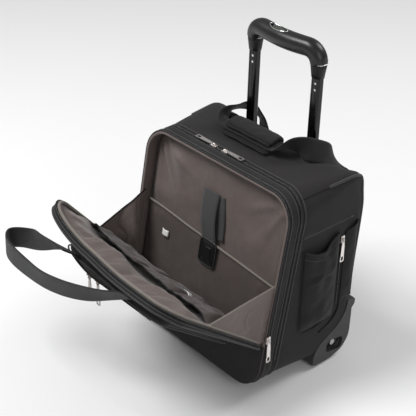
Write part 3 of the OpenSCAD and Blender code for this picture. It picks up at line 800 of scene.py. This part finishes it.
# closure strap and tab
strap_t = np.linspace(0, 1, 30)
strap_z = 0.292 - 0.096 * strap_t
strap_d = SECTION_D - 0.0103 - 0.0009
bow = 0.006 * np.sin(math.pi * strap_t) ** 1.3
strap_path = np.stack([-0.015 + 0.011 * step(strap_t), front_y(strap_z) + strap_d - bow, strap_z], 1)
widen = np.stack([1 + 0.12 * (1 - strap_t) ** 2, 0 * strap_t + 1], 1)
wide = strap_section(0.034, 0.0019)[None] * widen[:, None]
trim("closure_strap", strap_path, wide, (1, 0, 0), "strap", "sleeve_strap", "webbing", "sleeve_strap")
back_path = np.stack([0.0012 + 0.013 * np.sin(math.pi * strap_t * 0.62) - 0.002 * strap_t,
                      front_y(strap_z) + strap_d + 0.0016, strap_z], 1)[1:24]
trim("closure_strap_back", back_path, strap_section(0.024, 0.0012), (1, 0, 0), "strap", "sleeve_strap",
     "webbing")


def corners_only(half, low, high, r, n, first=0):
    """n points round each corner of a rounded rectangle, from the quarter turn first on."""
    spots = [(half - r, high - r), (-half + r, high - r), (-half + r, low + r), (half - r, low + r)]
    pts = []
    for k in range(first, first + 4):
        cx, cz = spots[k % 4]
        for a in np.radians(90 * k + np.linspace(0, 90, n)):
            pts.append((cx + r * math.cos(a), cz + r * math.sin(a)))
    return np.array(pts)


def tab_rows(levels, cx, cz, d):
    rows = []
    for inset, off in levels:
        p = corners_only(0.020 - inset, inset - 0.023, 0.023 - inset, max(0.008 - inset, 0.002), 10)
        z = cz + p[:, 1]
        rows.append(np.stack([cx + p[:, 0], front_y(z) + d - off, z], 1))
    return np.array(rows)


TAB_AT = (-0.002, 0.187)  # the middle of the tab, X and Z
tab = grid("embossed_tab", tab_rows([(0.002, 0), (0, 0.0004), (0, 0.0017), (0.0008, 0.0024),
                                     (0.0018, 0.0024), (0.0024, 0.0016), (0.0034, 0.0016),
                                     (0.0040, 0.0022), (0.016, 0.0022)], *TAB_AT, strap_d - 0.0012),
           ["tab"], wrap_cols=True, caps=True)
place(tab, "sleeve_strap", "tab_rubber", "strap_tab")
edge_line = tab_rows([(0.0005, 0.0026)], *TAB_AT, strap_d - 0.0012)[0]
trim("tab_edge", edge_line, circle(0.0005, 6), (0, 1, 0), "piping", "sleeve_strap", "tab_rubber", closed=True)
badge = grid("tab_oval", tab_rows([(0.0125, 0), (0.0125, 0.0005), (0.0131, 0.0008), (0.0165, 0.0008)],
                                  *TAB_AT, strap_d - 0.0034), ["tab"], wrap_cols=True, caps=True)
place(badge, "sleeve_strap", "tab_rubber")
tag_z = np.linspace(0.168, 0.180, 5)
tag_x = np.linspace(-0.119, -0.103, 7)
tag = sheet_mesh("blank_tag", np.array([[(x, front_y(z) + SECTION_D - 0.0125 - 0.002 * math.sin(i * 0.5), z)
                                         for i, x in enumerate(tag_x)] for z in tag_z]), 0.0005, "tag")
place(tag, "front_section", "lining")

# ---------------------------------------------------------------- front panel below the fold
panel_rows = []
for z in np.linspace(BASE_Z + 0.001, FOLD_Z - 0.002, 24):
    near = max((BASE_Z + CORNER_R) - z, 0)
    half = HALF_W - 0.0006 - CORNER_R + math.sqrt(max(CORNER_R ** 2 - near ** 2, 0))
    x = np.linspace(-half, half, 64)
    arch = np.sin(math.pi * np.clip((z - BASE_Z) / 0.088, 0, 1)) ** 0.6
    lift = 0.0045 * arch * step((half - np.abs(x)) / 0.014)
    lift = lift + 0.0006 * ripple(x, z, 8, 0.08)
    panel_rows.append(np.stack([x, front_y(z) - 0.0006 - lift, np.full_like(x, z)], 1))
panel = sheet_mesh("lower_front_panel", np.array(panel_rows), -0.0022, "body")
place(panel, "front_section", "body_fabric", "front_base_panel")
for z, tag in ((0.027, "low"), (0.097, "high")):
    near = max((BASE_Z + CORNER_R) - z, 0)
    half = HALF_W - 0.008 - CORNER_R + math.sqrt(CORNER_R ** 2 - near ** 2)
    x = np.linspace(-half, half, 80)
    lift = 0.0045 * math.sin(math.pi * (z - BASE_Z) / 0.088) ** 0.6
    path = np.stack([x, front_y(z) - 0.0009 - lift + 0 * x, np.full_like(x, z)], 1)
    stitches(f"panel_stitch_{tag}", path, (0, -1, 0), "front_section")


# ---------------------------------------------------------------- lid
def lid_xyz(p):
    """(x, off the inner face, up the lid) to the row frame, with the soft lid's curl."""
    p = np.asarray(p, float)
    x, w, v = p[..., 0], p[..., 1], p[..., 2]
    w = w + 0.010 * bell(x, -0.055, 0.075) * step((v - 0.06) / 0.18) * step((w + 0.031) / 0.019)
    share = step((x - CURL_START) / (CURL_END - CURL_START))
    angle = LID_OPEN - (1 - share) * LID_TRAVEL
    y = FOLD_Y - v * np.sin(angle) + w * np.cos(angle)
    z = FOLD_Z + v * np.cos(angle) + w * np.sin(angle)
    return np.stack([x, y, z], -1)


def lid_blend(obj, slot, *nodes):
    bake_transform(obj)
    if nodes:
        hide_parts(*nodes)
    return obj


def lid_depth(v):
    return 0.007 + 0.005 * np.asarray(v) / LID_LEN


def lid_outline(inset, low=0.008):
    """Round the lid: closed, sharp-ish at the fold and rounded at the top."""
    return rounded(LID_W - inset, low + inset, LID_LEN - inset, 0.006, 0.0445 - inset, (56, 44, 56, 44))


def lid_loop(inset, w, low=0.008):
    p, n = lid_outline(inset, low)
    return np.stack([p[:, 0], np.broadcast_to(w(p[:, 1]) if callable(w) else w, len(p)), p[:, 1]], 1)


# outer fabric: side wall, rolled edge and outer face, then the inner side of the wall
rows = [lid_loop(0.0004, -0.0006)]
for f in np.linspace(0.12, 0.85, 6):
    rows.append(lid_loop(-0.0006 * math.sin(f * math.pi), lambda v, f=f: -lid_depth(v) * f))
rows += [lid_loop(0.0006, lambda v: -lid_depth(v) * 0.96), lid_loop(0.0025, lambda v: -lid_depth(v))]
edge, _ = lid_outline(0.0025)
middle = np.stack([edge[:, 0] * 0.25, 0.12 + (edge[:, 1] - 0.12) * 0.1], 1)
for t in np.linspace(0, 1, 16)[1:]:
    p = edge + (middle - edge) * t
    w = -lid_depth(p[:, 1]) - 0.0018 * math.sin(math.pi * t) + 0.0005 * ripple(p[:, 0], p[:, 1], 4, 0.1)
    rows.append(np.stack([p[:, 0], w, p[:, 1]], 1))
rows = np.array(rows)
under = np.array([0, 0, 0.13]) + (rows - [0, 0, 0.13]) * 0.984
under[..., 1] = np.minimum(rows[..., 1] + 0.0022, -0.0006)
lid_skin = grid("lid_skin", lid_xyz(np.concatenate([rows[::-1], under])), ["body", "lining"], wrap_cols=True,
                caps=True, lined_from=len(rows))
lid_blend(lid_skin, "body_fabric", "lid_shell")

# inner rim, zip and piping of the lid
for name, inset, w, r, mat, slot in (("lid_rim", 0.0042, 0.0012, 0.0027, "rim", "lining"),
                                     ("lid_pipe_outer", -0.0007, None, 0.0015, "piping", "body_fabric"),
                                     ("lid_pipe_inner", -0.0005, -0.0064, 0.0011, "piping", "body_fabric")):
    p = lid_loop(inset, (lambda v: -lid_depth(v) * 0.97) if w is None else w)
    _, n = lid_outline(inset)
    if name == "lid_pipe_inner":
        few = p[:, 2] > 0.035
        p, n = p[few], n[few]
    path = lid_xyz(p)
    side = unit(lid_xyz(p + np.stack([n[:, 0], 0 * n[:, 0], n[:, 1]], 1) * 0.002) - path)
    closed = name != "lid_pipe_inner"
    lid_blend(sweep(name, path, circle(r, 10), side, mat, closed=closed), slot)
p = lid_loop(-0.0005, -0.0028, 0.012)
_, n = lid_outline(-0.0005, 0.012)
few = p[:, 2] > 0.016
path = lid_xyz(p[few])
off = unit(lid_xyz(p[few] + np.stack([n[few, 0], 0 * n[few, 0], n[few, 1]], 1) * 0.002) - path)
across = unit(lid_xyz(p[few] + [0, 0.002, 0]) - path)
lid_blend(sweep("lid_zip_tape", path, [(-0.0025, -0.0004), (0.0025, -0.0004), (0.0025, 0.0004),
                                       (-0.0025, 0.0004)], across, "tape"), "zip_tape", "lid_zip_lid_side")
path = lid_xyz(lid_loop(-0.0013, -0.0011, 0.012)[few])
lid_blend(coil("lid_zip_teeth", path, off, 0.0009), "zip_tape")

# lining: puffed towards its free edge, gathered where it meets the rim
grid_x = np.linspace(-1, 1, 97)
rows = []
for t in np.linspace(0, 1, 81):
    v = 0.0115 + (LID_LEN - 0.0045 - 0.0115) * t
    near = max(v - (LID_LEN - 0.0445), 0)
    half = LID_W - 0.0045 - 0.040 + math.sqrt(max(0.040 ** 2 - (near * 0.9) ** 2, 0))
    x = grid_x * half
    edge = step((1 - np.abs(grid_x)) * 7) * step(t * 8) * step((1 - t) * 9)
    puff = 0.014 * bell(v, 0.190, 0.036) * (1 + 0.35 * ripple(x, v, 2, 0.15))
    folds = 0.0055 * bell(ripple(x + 0.4 * v, v * 0.35, 6, 0.13), 0, 0.22) * bell(v, 0.205, 0.045)
    folds = folds + 0.0032 * bell(v, 0.215, 0.03) * ripple(x, v * 0.3, 11, 0.035)
    w = -0.0022 + edge * (puff - folds + 0.0016 * ripple(x, v, 9, 0.05))
    rows.append(np.stack([x, w, np.full_like(x, v)], 1))
lining = sheet_mesh("lid_lining_cloth", lid_xyz(np.array(rows)), -0.0012, "lining")
lid_blend(lining, "lining", "lid_lining")

# organizer pocket: a gathered sheet whose top edge stands off the lining
rows = []
top_line = 0.150
for t in np.linspace(0, 1, 61):
    x = np.linspace(-0.158, 0.158, 121)
    sag = 0.010 * bell(x, -0.02, 0.06) - 0.006 * bell(x, -0.11, 0.04)
    v = 0.016 + (top_line - sag - 0.016) * t
    edge = step((0.158 - np.abs(x)) / 0.02)
    body_puff = 0.0125 * math.sin(math.pi * t ** 0.6 * 0.8) * (1 + 0.3 * ripple(x, v, 12, 0.09))
    gather = 0.0020 * step(t) * ripple(x, v * 0.4, 5, 0.04)
    divide = -0.0045 * (bell(x, -0.035, 0.004) + bell(x, 0.062, 0.004))
    w = 0.0012 + edge * (body_puff + gather + divide * step((1 - t) * 5 + 0.25) + 0.004 * t)
    rows.append(np.stack([x, w, v], 1))
organizer_grid = np.array(rows)
# the organizer takes the darker lining copy, which is painted shade
organizer = sheet_mesh("organizer_cloth", lid_xyz(organizer_grid), -0.0011, "lining_painted_shade")
lid_blend(organizer, "lining", "lid_organizer")
# the organizer's top hem takes the black zip-tape colour: partly a dark binding, partly painted shade of the
# gap between the pocket's top edge and the lining
hem_path = lid_xyz(organizer_grid[-1] + [0, 0.0002, 0])
lid_blend(sweep("organizer_hem_and_gap_shade", hem_path, circle(0.0016, 8, 0.7),
                unit(lid_xyz(organizer_grid[-1] + [0, 0, 0.01]) - hem_path), "tape"), "lining")

spot = organizer_grid[31:37, 77:84] + [0, 0.0014, 0]
spot_tag = sheet_mesh("organizer_tag", lid_xyz(spot), 0.0006, "tag")
lid_blend(spot_tag, "lining")

# front pocket, inflated by cloth simulation in the lid's own flat frame
POCKET_T = 0.021


def pocket_loop(inset, w):
    pts = corners_only(0.125 - inset, 0.018 + inset, 0.212 - inset, max(0.024 - inset, 0.004), 12, -1)
    return np.stack([pts[:, 0], w(pts[:, 1]), pts[:, 1]], 1)


def drawn_in(row, k, off):
    """row shrunk by k about the pocket's middle, that far off the lid's face."""
    middle = np.array([0, 0, 0.115])
    r = middle + (row - middle) * k
    r[:, 1] = -lid_depth(r[:, 2]) - off
    return r


levels = [(0.001, 0.0006), (0.0, 0.006), (0.0006, 0.015), (0.0035, 0.0192), (0.009, 0.0206)]
rows = [pocket_loop(i, lambda v, h=h: -lid_depth(v) - h) for i, h in levels]
rows += [drawn_in(rows[4], k, 0.0208) for k in (0.8, 0.55, 0.3, 0.08)]
base = [drawn_in(rows[0], k, 0.0006) for k in (0.08, 0.5, 0.96)]
pocket = grid("front_pocket_cloth", np.array(base + rows), ["pocket"], wrap_cols=True, caps=True)


def pocket_hold(p):
    """Free in the middle of the pocket, held at the zip, the base and the lid's face."""
    off = -p[:, 1] - lid_depth(p[:, 2])
    return step((off - 0.002) / 0.008) * step((0.186 - p[:, 2]) / 0.02) * step((p[:, 2] - 0.03) / 0.02)


inflate(pocket, 4, 0.005, pocket_hold)
co = points_of(pocket)
off = -co[:, 1] - lid_depth(co[:, 2])
face = step((off - 0.010) / 0.010)
co[:, 1] += face * 0.0012 * ripple(co[:, 0], co[:, 2], 7, 0.07) * step((0.186 - co[:, 2]) / 0.02)
set_points(pocket, lid_xyz(co))
paint_all(pocket, "pocket")
lid_blend(pocket, "body_fabric", "front_pocket")


def pocket_face(x, lift, v):
    return lid_xyz(np.stack([x, -lid_depth(v) - POCKET_T - lift, v], -1))


zip_x = np.linspace(-0.095, 0.095, 120)
zip_v = np.full_like(zip_x, 0.1975)
up_lid = unit(pocket_face(zip_x, 0, zip_v + 0.01) - pocket_face(zip_x, 0, zip_v))
off_face = unit(pocket_face(zip_x, 0.01, zip_v) - pocket_face(zip_x, 0, zip_v))
lid_blend(sweep("pocket_zip_tape", pocket_face(zip_x, 0.0005, zip_v), strap_section(0.010, 0.0009, 7),
                up_lid, "tape"), "zip_tape", "front_pocket_zip")
lid_blend(coil("pocket_zip_teeth", pocket_face(zip_x, 0.0011, zip_v), off_face, 0.0011), "zip_tape")
for dv, tag in ((0.0075, "upper"), (-0.0075, "lower")):
    lid_blend(sweep(f"pocket_zip_lip_{tag}", pocket_face(zip_x * 1.12, 0.0006, zip_v + dv),
                    circle(0.0016, 8, 0.8), up_lid, "pocket"), "body_fabric")
pipe_loop = pocket_loop(0.0, lambda v: -lid_depth(v) - 0.0192)
pipe_loop = np.concatenate([pipe_loop, pipe_loop[:1]])
pipe_xyz = resample(lid_xyz(pipe_loop), 0.005)[:-1]
lid_blend(sweep("pocket_piping", pipe_xyz, circle(0.0014, 8), (0, 0.6, 0.79), "piping", closed=True),
          "body_fabric")


# ---------------------------------------------------------------- gussets between frame and lid
def gusset(side, slack, v_top, z_top, seed, edge_mat):
    x0 = side * (HALF_W - WALL - 0.0007)
    rows = []
    b = np.linspace(0, 1, 49)
    ends_held = np.sin(math.pi * b)
    for a in np.linspace(0.0, 1, 45):
        v = 0.012 + (v_top - 0.012) * a
        lid_end = lid_xyz([x0, -0.003 * (1 - a), v])
        z = FOLD_Z + 0.012 + (z_top - FOLD_Z - 0.012) * a
        frame_end = np.array([x0, front_y(z) + 0.007, z])
        line = frame_end + (lid_end - frame_end) * b[:, None]
        loose = (math.sin(math.pi * min(a * 1.02, 1)) ** 0.8 + 0.12 * a) * ends_held
        hang = slack * loose
        fold = 0.55 * slack * loose * np.sin(math.pi * (2.6 * b + 1.1 * a) + seed)
        crease = 0.45 * slack * loose * bell(ripple(b * 0.1, a * 0.1 + b * 0.05, seed, 0.09), 0, 0.16)
        line[:, 0] -= side * (hang + fold - crease)
        line[:, 2] -= 0.25 * hang
        rows.append(line)
    p = np.array(rows)
    tag = "right" if side > 0 else "left"
    obj = sheet_mesh(f"gusset_cloth_{tag}", p, 0.0011, "lining")
    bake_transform(obj)
    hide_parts(f"gusset_{tag}")
    binding = sweep(f"gusset_binding_{tag}", p[-1], circle(0.0019, 8, 0.7), (0, 0.6, 0.8), edge_mat)
    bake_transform(binding)


gusset(1, 0.003, 0.154, 0.212, 1.0, "rim")
gusset(-1, 0.013, 0.118, 0.236, 2.3, "tape")

# ---------------------------------------------------------------- side pockets and the side zip
ZIP_Y = 0.121
for sign, tag in SIDES:
    rows = []
    for t in np.linspace(0, 1, 61):
        u = np.linspace(0, 1, 81)
        mouth = 0.2535 - 0.004 * u + 0.0045 * np.sin(u * 7 + 2.2) * step(t) + 0.011 * step((u - 0.62) / 0.3)
        z = 0.098 + (mouth - 0.098) * t
        y = 0.032 + 0.081 * u
        round_low = np.minimum(1, np.sqrt(np.clip(t * 7, 0, 1)))
        bulge = 0.0155 * np.sin(math.pi * u) ** 0.5 * round_low * (0.75 + 0.25 * t)
        crease = 0.0026 * ripple(y, z, 3 + (sign < 0), 0.07)
        crease += 0.0038 * bell(z - 0.35 * (y - 0.08), 0.207, 0.006)
        crease = crease - 0.0034 * bell(z + 0.3 * (y - 0.08), 0.197, 0.006)
        crease = crease - 0.0030 * bell(z + 0.6 * (y - 0.08), 0.235, 0.007)
        x = 0.0012 + bulge + crease * np.sin(math.pi * u) * round_low
        x = x - 0.007 * step((t - 0.8) / 0.2) * bell(u, 0.7, 0.18)
        rows.append(np.stack([sign * (HALF_W + np.clip(x, 0.0006, 0.0168)), y, z], 1))
    p = np.array(rows)
    if sign < 0:
        p = p[:, ::-1]
    pouch = sheet_mesh(f"side_pouch_{tag}", p, 0.0017, "pocket")
    place(pouch, "case", "body_fabric", f"side_pocket_{tag}")
    hem_line = p[-1] + [0, 0, -0.001]
    trim(f"pouch_hem_{tag}", hem_line, circle(0.0016, 8, 0.8), (0, 0, 1), "body", *FABRIC)
    stitches(f"pouch_stitch_{tag}", p[-6] + [sign * 0.0002, 0, 0], (sign, 0, 0), "case")
    border = side_line(sign, [(0.0305, 0.258), (0.0305, 0.2), (0.0305, 0.13), (0.034, 0.1),
                              (0.05, 0.0925), (0.08, 0.0935), (0.104, 0.101), (0.113, 0.113)], 0.0014)
    trim(f"pouch_piping_{tag}", border, circle(0.0011), (sign, 0, 0), "body", *FABRIC)
    rows = []
    for t in np.linspace(0, 1, 40):
        u = np.linspace(0, 1, 30)
        y = 0.1295 + 0.0285 * u
        mouth = 0.2565 + 0.013 * u
        z = 0.121 + (mouth - 0.121) * t
        swell = 0.0042 * np.sin(math.pi * np.clip(u * 0.95, 0, 1)) ** 0.7 * min(1, t * 6) * (0.55 + 0.45 * t)
        x = 0.0012 + swell + 0.0008 * ripple(y, z, 14, 0.05) * np.sin(math.pi * u)
        x = x - 0.0016 * step((u - 0.75) / 0.25)
        rows.append(np.stack([sign * (HALF_W + np.maximum(x, 0.0008)), y, z], 1))
    p = np.array(rows)
    if sign < 0:
        p = p[:, ::-1]
    flap = sheet_mesh(f"side_flap_{tag}", p, 0.0012, "pocket")
    place(flap, "case", "body_fabric")
    trim(f"side_flap_hem_{tag}", p[-1], circle(0.0014), (0, 0, 1), "body", *FABRIC)
    for dy, part in ((-0.0078, "front"), (0.0078, "rear")):
        y = ZIP_Y + dy
        line = side_line(sign, [(y, 0.256), (y, 0.19), (y, 0.125), (y - 0.004, 0.108 - dy),
                                (y - 0.022, 0.092 - dy), (y - 0.045, 0.083 - dy)], 0.0016)
        trim(f"side_zip_edge_{part}_{tag}", line, circle(0.0013), (sign, 0, 0), "tape", *FABRIC)

zip_z = np.linspace(0.118, 0.250, 70)
zip_line = np.stack([np.full(70, HALF_W + 0.0012), np.full(70, ZIP_Y), zip_z], 1)
trim("side_zip_tape", zip_line + [-0.0006, 0, 0], strap_section(0.014, 0.0009), (0, 1, 0), "tape",
     "case", "zip_tape", "side_zip_track")
place(coil("side_zip_teeth", zip_line, (1, 0, 0), 0.0012), "case", "zip_tape")


# ---------------------------------------------------------------- webbing handles
def handle(name, node, route, to_world):
    """Webbing along route: each point in mm with the strap's width direction, in to_world's own frame."""
    r = smooth(np.array(route, float) * [0.001, 0.001, 0.001, 1, 1, 1], 8)
    path = to_world(r[:, :3])
    side = unit(to_world(r[:, :3] + unit(r[:, 3:]) * 0.001) - path)
    body = node.replace("_strap", "")
    trim(name, path, strap_section(0.038, 0.0026, 13), side, "webbing", body, "webbing", node)
    return path, side


def lid_flat(p):
    x, w, v = p[..., 0], p[..., 1], p[..., 2]
    return np.stack([x, FOLD_Y - v * math.sin(LID_OPEN) + w * math.cos(LID_OPEN),
                     FOLD_Z + v * math.cos(LID_OPEN) + w * math.sin(LID_OPEN)], -1)


front_route = [
    (-78, -15.6, 234, 0, 0, 1), (-112, -17, 231, 0, 0.1, 1), (-150, -25, 219, 0, 0.4, 1),
    (-190, -37, 210, 0, 0.8, 0.6), (-220, -48, 214, 0, 0.8, 0.6), (-232, -58, 222, 0, 0.8, 0.6),
    (-222, -68, 232, 0, 0.8, 0.6), (-190, -73, 240, 0, 0.8, 0.6), (-146, -75, 242, 0, 0.8, 0.7),
    (-96, -74, 243, 0, 0.7, 0.8), (-50, -66, 242, 0, 0.6, 0.8), (-8, -53, 239, 0, 0.5, 0.9),
    (34, -34, 236, 0, 0.2, 1), (62, -20, 234, 0, 0.1, 1), (86, -15.6, 234, 0, 0, 1),
]
path, side = handle("front_webbing", "front_handle", front_route, lid_flat)
off = np.cross(unit(np.gradient(path, axis=0)), side)
for k, tag in ((0.0165, "upper"), (-0.0165, "lower")):
    for end, part, at in (("a", slice(0, 10), 5), ("b", slice(-10, None), -5)):
        line = path[part] + side[part] * k + off[part] * -0.0014
        stitches(f"front_webbing_stitch_{tag}_{end}", line, off[at] * -1, "front_handle")

rear_route = [
    (-54, 165, 296, 1, 0, 0.1), (-58, 165.5, 318, 1, -0.1, 0.2), (-64, 167, 338, 1, -0.35, 0.2),
    (-75, 169.5, 356, 0.85, -0.45, 0.3), (-91, 166, 368, 0.7, -0.3, 0.6), (-102, 151, 373, 0.65, -0.2, 0.6),
    (-103, 131, 373, 0.75, -0.1, 0.65), (-97, 112, 370, 0.5, -0.5, 0.7), (-85, 99, 368, 0.1, -0.9, 0.35),
    (-70, 95, 367, 0, -1, 0), (-20, 95, 367, 0, -1, 0), (38, 95, 367, 0, -1, 0),
    (54, 97, 371, 0, -1, 0.35), (75, 106, 379, 0, -0.3, 1), (94, 118, 377, -0.2, 0.4, 1),
    (106, 138, 369, -0.4, 0.5, 0.9), (114, 153, 357, -0.9, 0.5, 0.3),
    (117, 163.3, 342, -1, 0, 0), (118, 165, 324, -1, 0, 0),
]
handle("rear_webbing", "rear_handle_strap", rear_route, lambda p: p)

# padded wrap round the rear strap: a folded pad, open along its front, puffed by simulation
WRAP_X0, WRAP_X1 = -0.072, 0.036
fold_line = smooth([(71, 361.0), (84, 360.8), (100, 360.8), (115, 362), (120.5, 367.5), (115, 373.3),
                    (102, 375), (90, 374.6), (80, 372.5)], 5) / 1000
fold_out = unit(np.stack([np.gradient(fold_line[:, 1]), -np.gradient(fold_line[:, 0])], 1))
half_t = 0.0025 + 0.0010 * step(np.linspace(-0.6, 1.2, len(fold_line)))
half_t = half_t * np.minimum(1, np.sqrt(np.clip(np.minimum(np.arange(len(half_t)) + 0.4,
                                                           np.arange(len(half_t))[::-1] + 0.4) / 3, 0, 1)))
wrap_section = np.concatenate([fold_line + fold_out * half_t[:, None],
                               (fold_line - fold_out * half_t[:, None])[::-1]])
wrap_rows = []
for t in np.linspace(0, 1, 34):
    round_end = 1 - 0.14 * (2 * t - 1) ** 8
    yz = [0.095, 0.3665] + (wrap_section - [0.095, 0.3665]) * [round_end, 1]
    skew = 0.004 * (0.095 - yz[:, 0]) / 0.024
    wrap_rows.append(np.stack([WRAP_X0 + skew + (WRAP_X1 - WRAP_X0) * t, yz[:, 0], yz[:, 1]], 1))
wrap = grid("handle_wrap", np.array(wrap_rows), ["wrap"], wrap_cols=True, caps=True)
wrap = inflate(wrap, 3, 0.0010, voxel=0.0022)
paint_all(wrap, "wrap")
co = points_of(wrap)
co[:, 2] = np.maximum(co[:, 2] + 0.0006 * ripple(co[:, 0], co[:, 1], 4, 0.035), TOP_Z + 0.0004)
set_points(wrap, co)
place(wrap, "rear_handle", "body_fabric", "rear_handle_wrap")
for y, z, tag in ((0.0700, 0.3618, "low"), (0.0785, 0.3733, "high")):
    line = resample([(WRAP_X0 + 0.005, y, z), (WRAP_X1 + 0.001, y, z)], 0.003)
    line[:, 1] += 0.0005 * np.sin(line[:, 0] * 160)
    trim(f"wrap_binding_{tag}", line, circle(0.0018), (0, 1, 0), "wrap", "rear_handle", "body_fabric")

# ---------------------------------------------------------------- pull handle
TUBE_Y, BAR_Z, BEND_R = 0.1435, 0.535, 0.022
route = [(-TUBE_X, 0.513), (-TUBE_X, 0.517)]
route += [(-TUBE_X + BEND_R * (1 - math.cos(a)), BAR_Z - BEND_R + BEND_R * math.sin(a))
          for a in np.linspace(0.1, math.pi / 2, 10)]
route += [(x, BAR_Z) for x in np.linspace(-TUBE_X + BEND_R, TUBE_X - BEND_R, 26)[1:-1]]
route += [(-x, z) for x, z in route[:12][::-1]]
route = np.array(route)
path = np.stack([route[:, 0], np.full(len(route), TUBE_Y), route[:, 1]], 1)
share = lengths(path) / lengths(path)[-1]
path[:, 1] -= 0.0075 * np.sin(math.pi * share) ** 1.5
path[:, 2] -= 0.0020 * np.sin(math.pi * share) ** 2
fat = 0.0134 + 0.0020 * np.sin(math.pi * share) ** 0.5
section = circle(1.0, 28)[None] * fat[:, None, None]
section = np.sign(section) * np.abs(section / fat[:, None, None]) ** 0.92 * fat[:, None, None]
grip = sweep("grip_sleeve", path, section, (0, 1, 0), "grip")
BUTTON_X = -0.012
near = int(np.argmin(np.abs(path[:, 0] - BUTTON_X) + (path[:, 2] < 0.52)))
BUTTON_Y, GRIP_TOP = path[near, 1] - 0.001, path[near, 2] + fat[near]


def oval(long, wide, z, count=48):
    a = np.linspace(0, 2 * math.pi, count + 1)[:-1]
    tilt = 0.10
    x, y = long * np.cos(a), wide * np.sin(a)
    drop = (y * 0.9) ** 2 / (2 * 0.0145)
    return np.stack([BUTTON_X + x, BUTTON_Y + y - tilt * x, z - drop + 0 * a], 1)


bore = outward(make("cutter", np.concatenate([oval(0.0205, 0.0078, GRIP_TOP - 0.0042),
                                              oval(0.0205, 0.0078, GRIP_TOP + 0.02)]),
                    [tuple(range(48))[::-1], tuple(range(48, 96))]
                    + [(i, (i + 1) % 48, 48 + (i + 1) % 48, 48 + i) for i in range(48)], ["grip"]))
cut(grip, bore)
shade_smooth(grip)
grip.modifiers.new("edges", "EDGE_SPLIT").split_angle = math.radians(40)
place(grip, "upper_stage", "grip_soft", "grip")
trim("bezel_ring", oval(0.0208, 0.0081, GRIP_TOP - 0.0002), circle(0.0008), (0, 0, 1), "chrome",
     "upper_stage", "chrome_trim", "button_bezel", closed=True)
cap = [oval(a, b, GRIP_TOP + dz) for a, b, dz in ((0.0150, 0.0060, -0.0050), (0.0150, 0.0060, -0.0022),
                                                  (0.0145, 0.0056, -0.0013), (0.0128, 0.0045, -0.0008),
                                                  (0.0070, 0.0022, -0.0005), (0.0012, 0.0005, -0.0004))]
place(grid("button_cap", np.array(cap), ["button"], wrap_cols=True, caps=True),
      "release_button", "button_grey", "release_button")
for sign, tag in SIDES:
    rows = []
    a = np.linspace(0, 2 * math.pi, 49)[:-1]
    for z, half_x, half_y in ((0.4885, 0.0098, 0.0082), (0.4890, 0.0107, 0.0090), (0.4960, 0.0114, 0.0099),
                              (0.5060, 0.0126, 0.0113), (0.5128, 0.0134, 0.0121), (0.5134, 0.0126, 0.0113)):
        rows.append(np.stack([sign * TUBE_X + half_x * np.sign(np.cos(a)) * np.abs(np.cos(a)) ** 0.8,
                              TUBE_Y + half_y * np.sign(np.sin(a)) * np.abs(np.sin(a)) ** 0.8,
                              np.full(48, z)], 1))
    place(grid(f"collar_{tag}", np.array(rows), ["collar"], wrap_cols=True, caps=True),
          "upper_stage", "collar_black", *(("grip_collars",) if sign > 0 else ()))
    ring_path = rows[-1] + [0, 0, 0.0003]
    ring_path[:, 0] += (ring_path[:, 0] - sign * TUBE_X) * 0.07
    ring_path[:, 1] += (ring_path[:, 1] - TUBE_Y) * 0.08
    trim(f"collar_ring_{tag}", ring_path, circle(0.0007), (0, 0, 1), "chrome", "upper_stage", "chrome_trim",
         closed=True)

# ---------------------------------------------------------------- CAD nodes that stay
FINISH = {
    "plastic": ("wheel_housing_right", "wheel_housing_left", "front_stand", "handle_sleeves",
                "sleeve_bracket", "hub_right", "hub_left"),
    "tyre": ("tyre_right", "tyre_left"),
    "steel": ("axle_right", "axle_left", "release_rods", "collar_rivets"),
    "tube": ("lower_tubes", "middle_tubes", "upper_tubes"),
    "nickel": tuple(f"{zone}_{part}_{side}" for zone in ("main", "lid")
                    for part in ("slider", "pull") for side in ("right", "left"))
              + ("side_slider", "side_pull"),
    "nickel_dark": tuple(f"pocket_{part}_{side}" for part in ("slider", "pull")
                         for side in ("right", "left")),
}
BEVEL = {"wheel_housing_right": 0.0022, "wheel_housing_left": 0.0022, "front_stand": 0.002,
         "hub_right": 0.0006, "hub_left": 0.0006, "lower_tubes": 0.0003, "middle_tubes": 0.0003}
for mat, nodes in FINISH.items():
    for node in nodes:
        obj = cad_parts[node]
        obj.data.materials.clear()
        obj.data.materials.append(MAT[mat])
        width = BEVEL.get(node, 0.00022 if "nickel" in mat else 0)
        if width:
            bevel = obj.modifiers.new("bevel", "BEVEL")
            bevel.width = width
            bevel.segments = 3
            bevel.angle_limit = math.radians(35)
            bevel.harden_normals = False

# ---------------------------------------------------------------- floor
floor_material = Nodes("floor")
floor_material.set(Base_Color=(0.9, 0.9, 0.9, 1), Roughness=0.7)
bpy.ops.mesh.primitive_plane_add(size=30, location=(0, 0, 0))
floor = bpy.context.object
floor.name = "floor"
floor.data.materials.append(floor_material.mat)
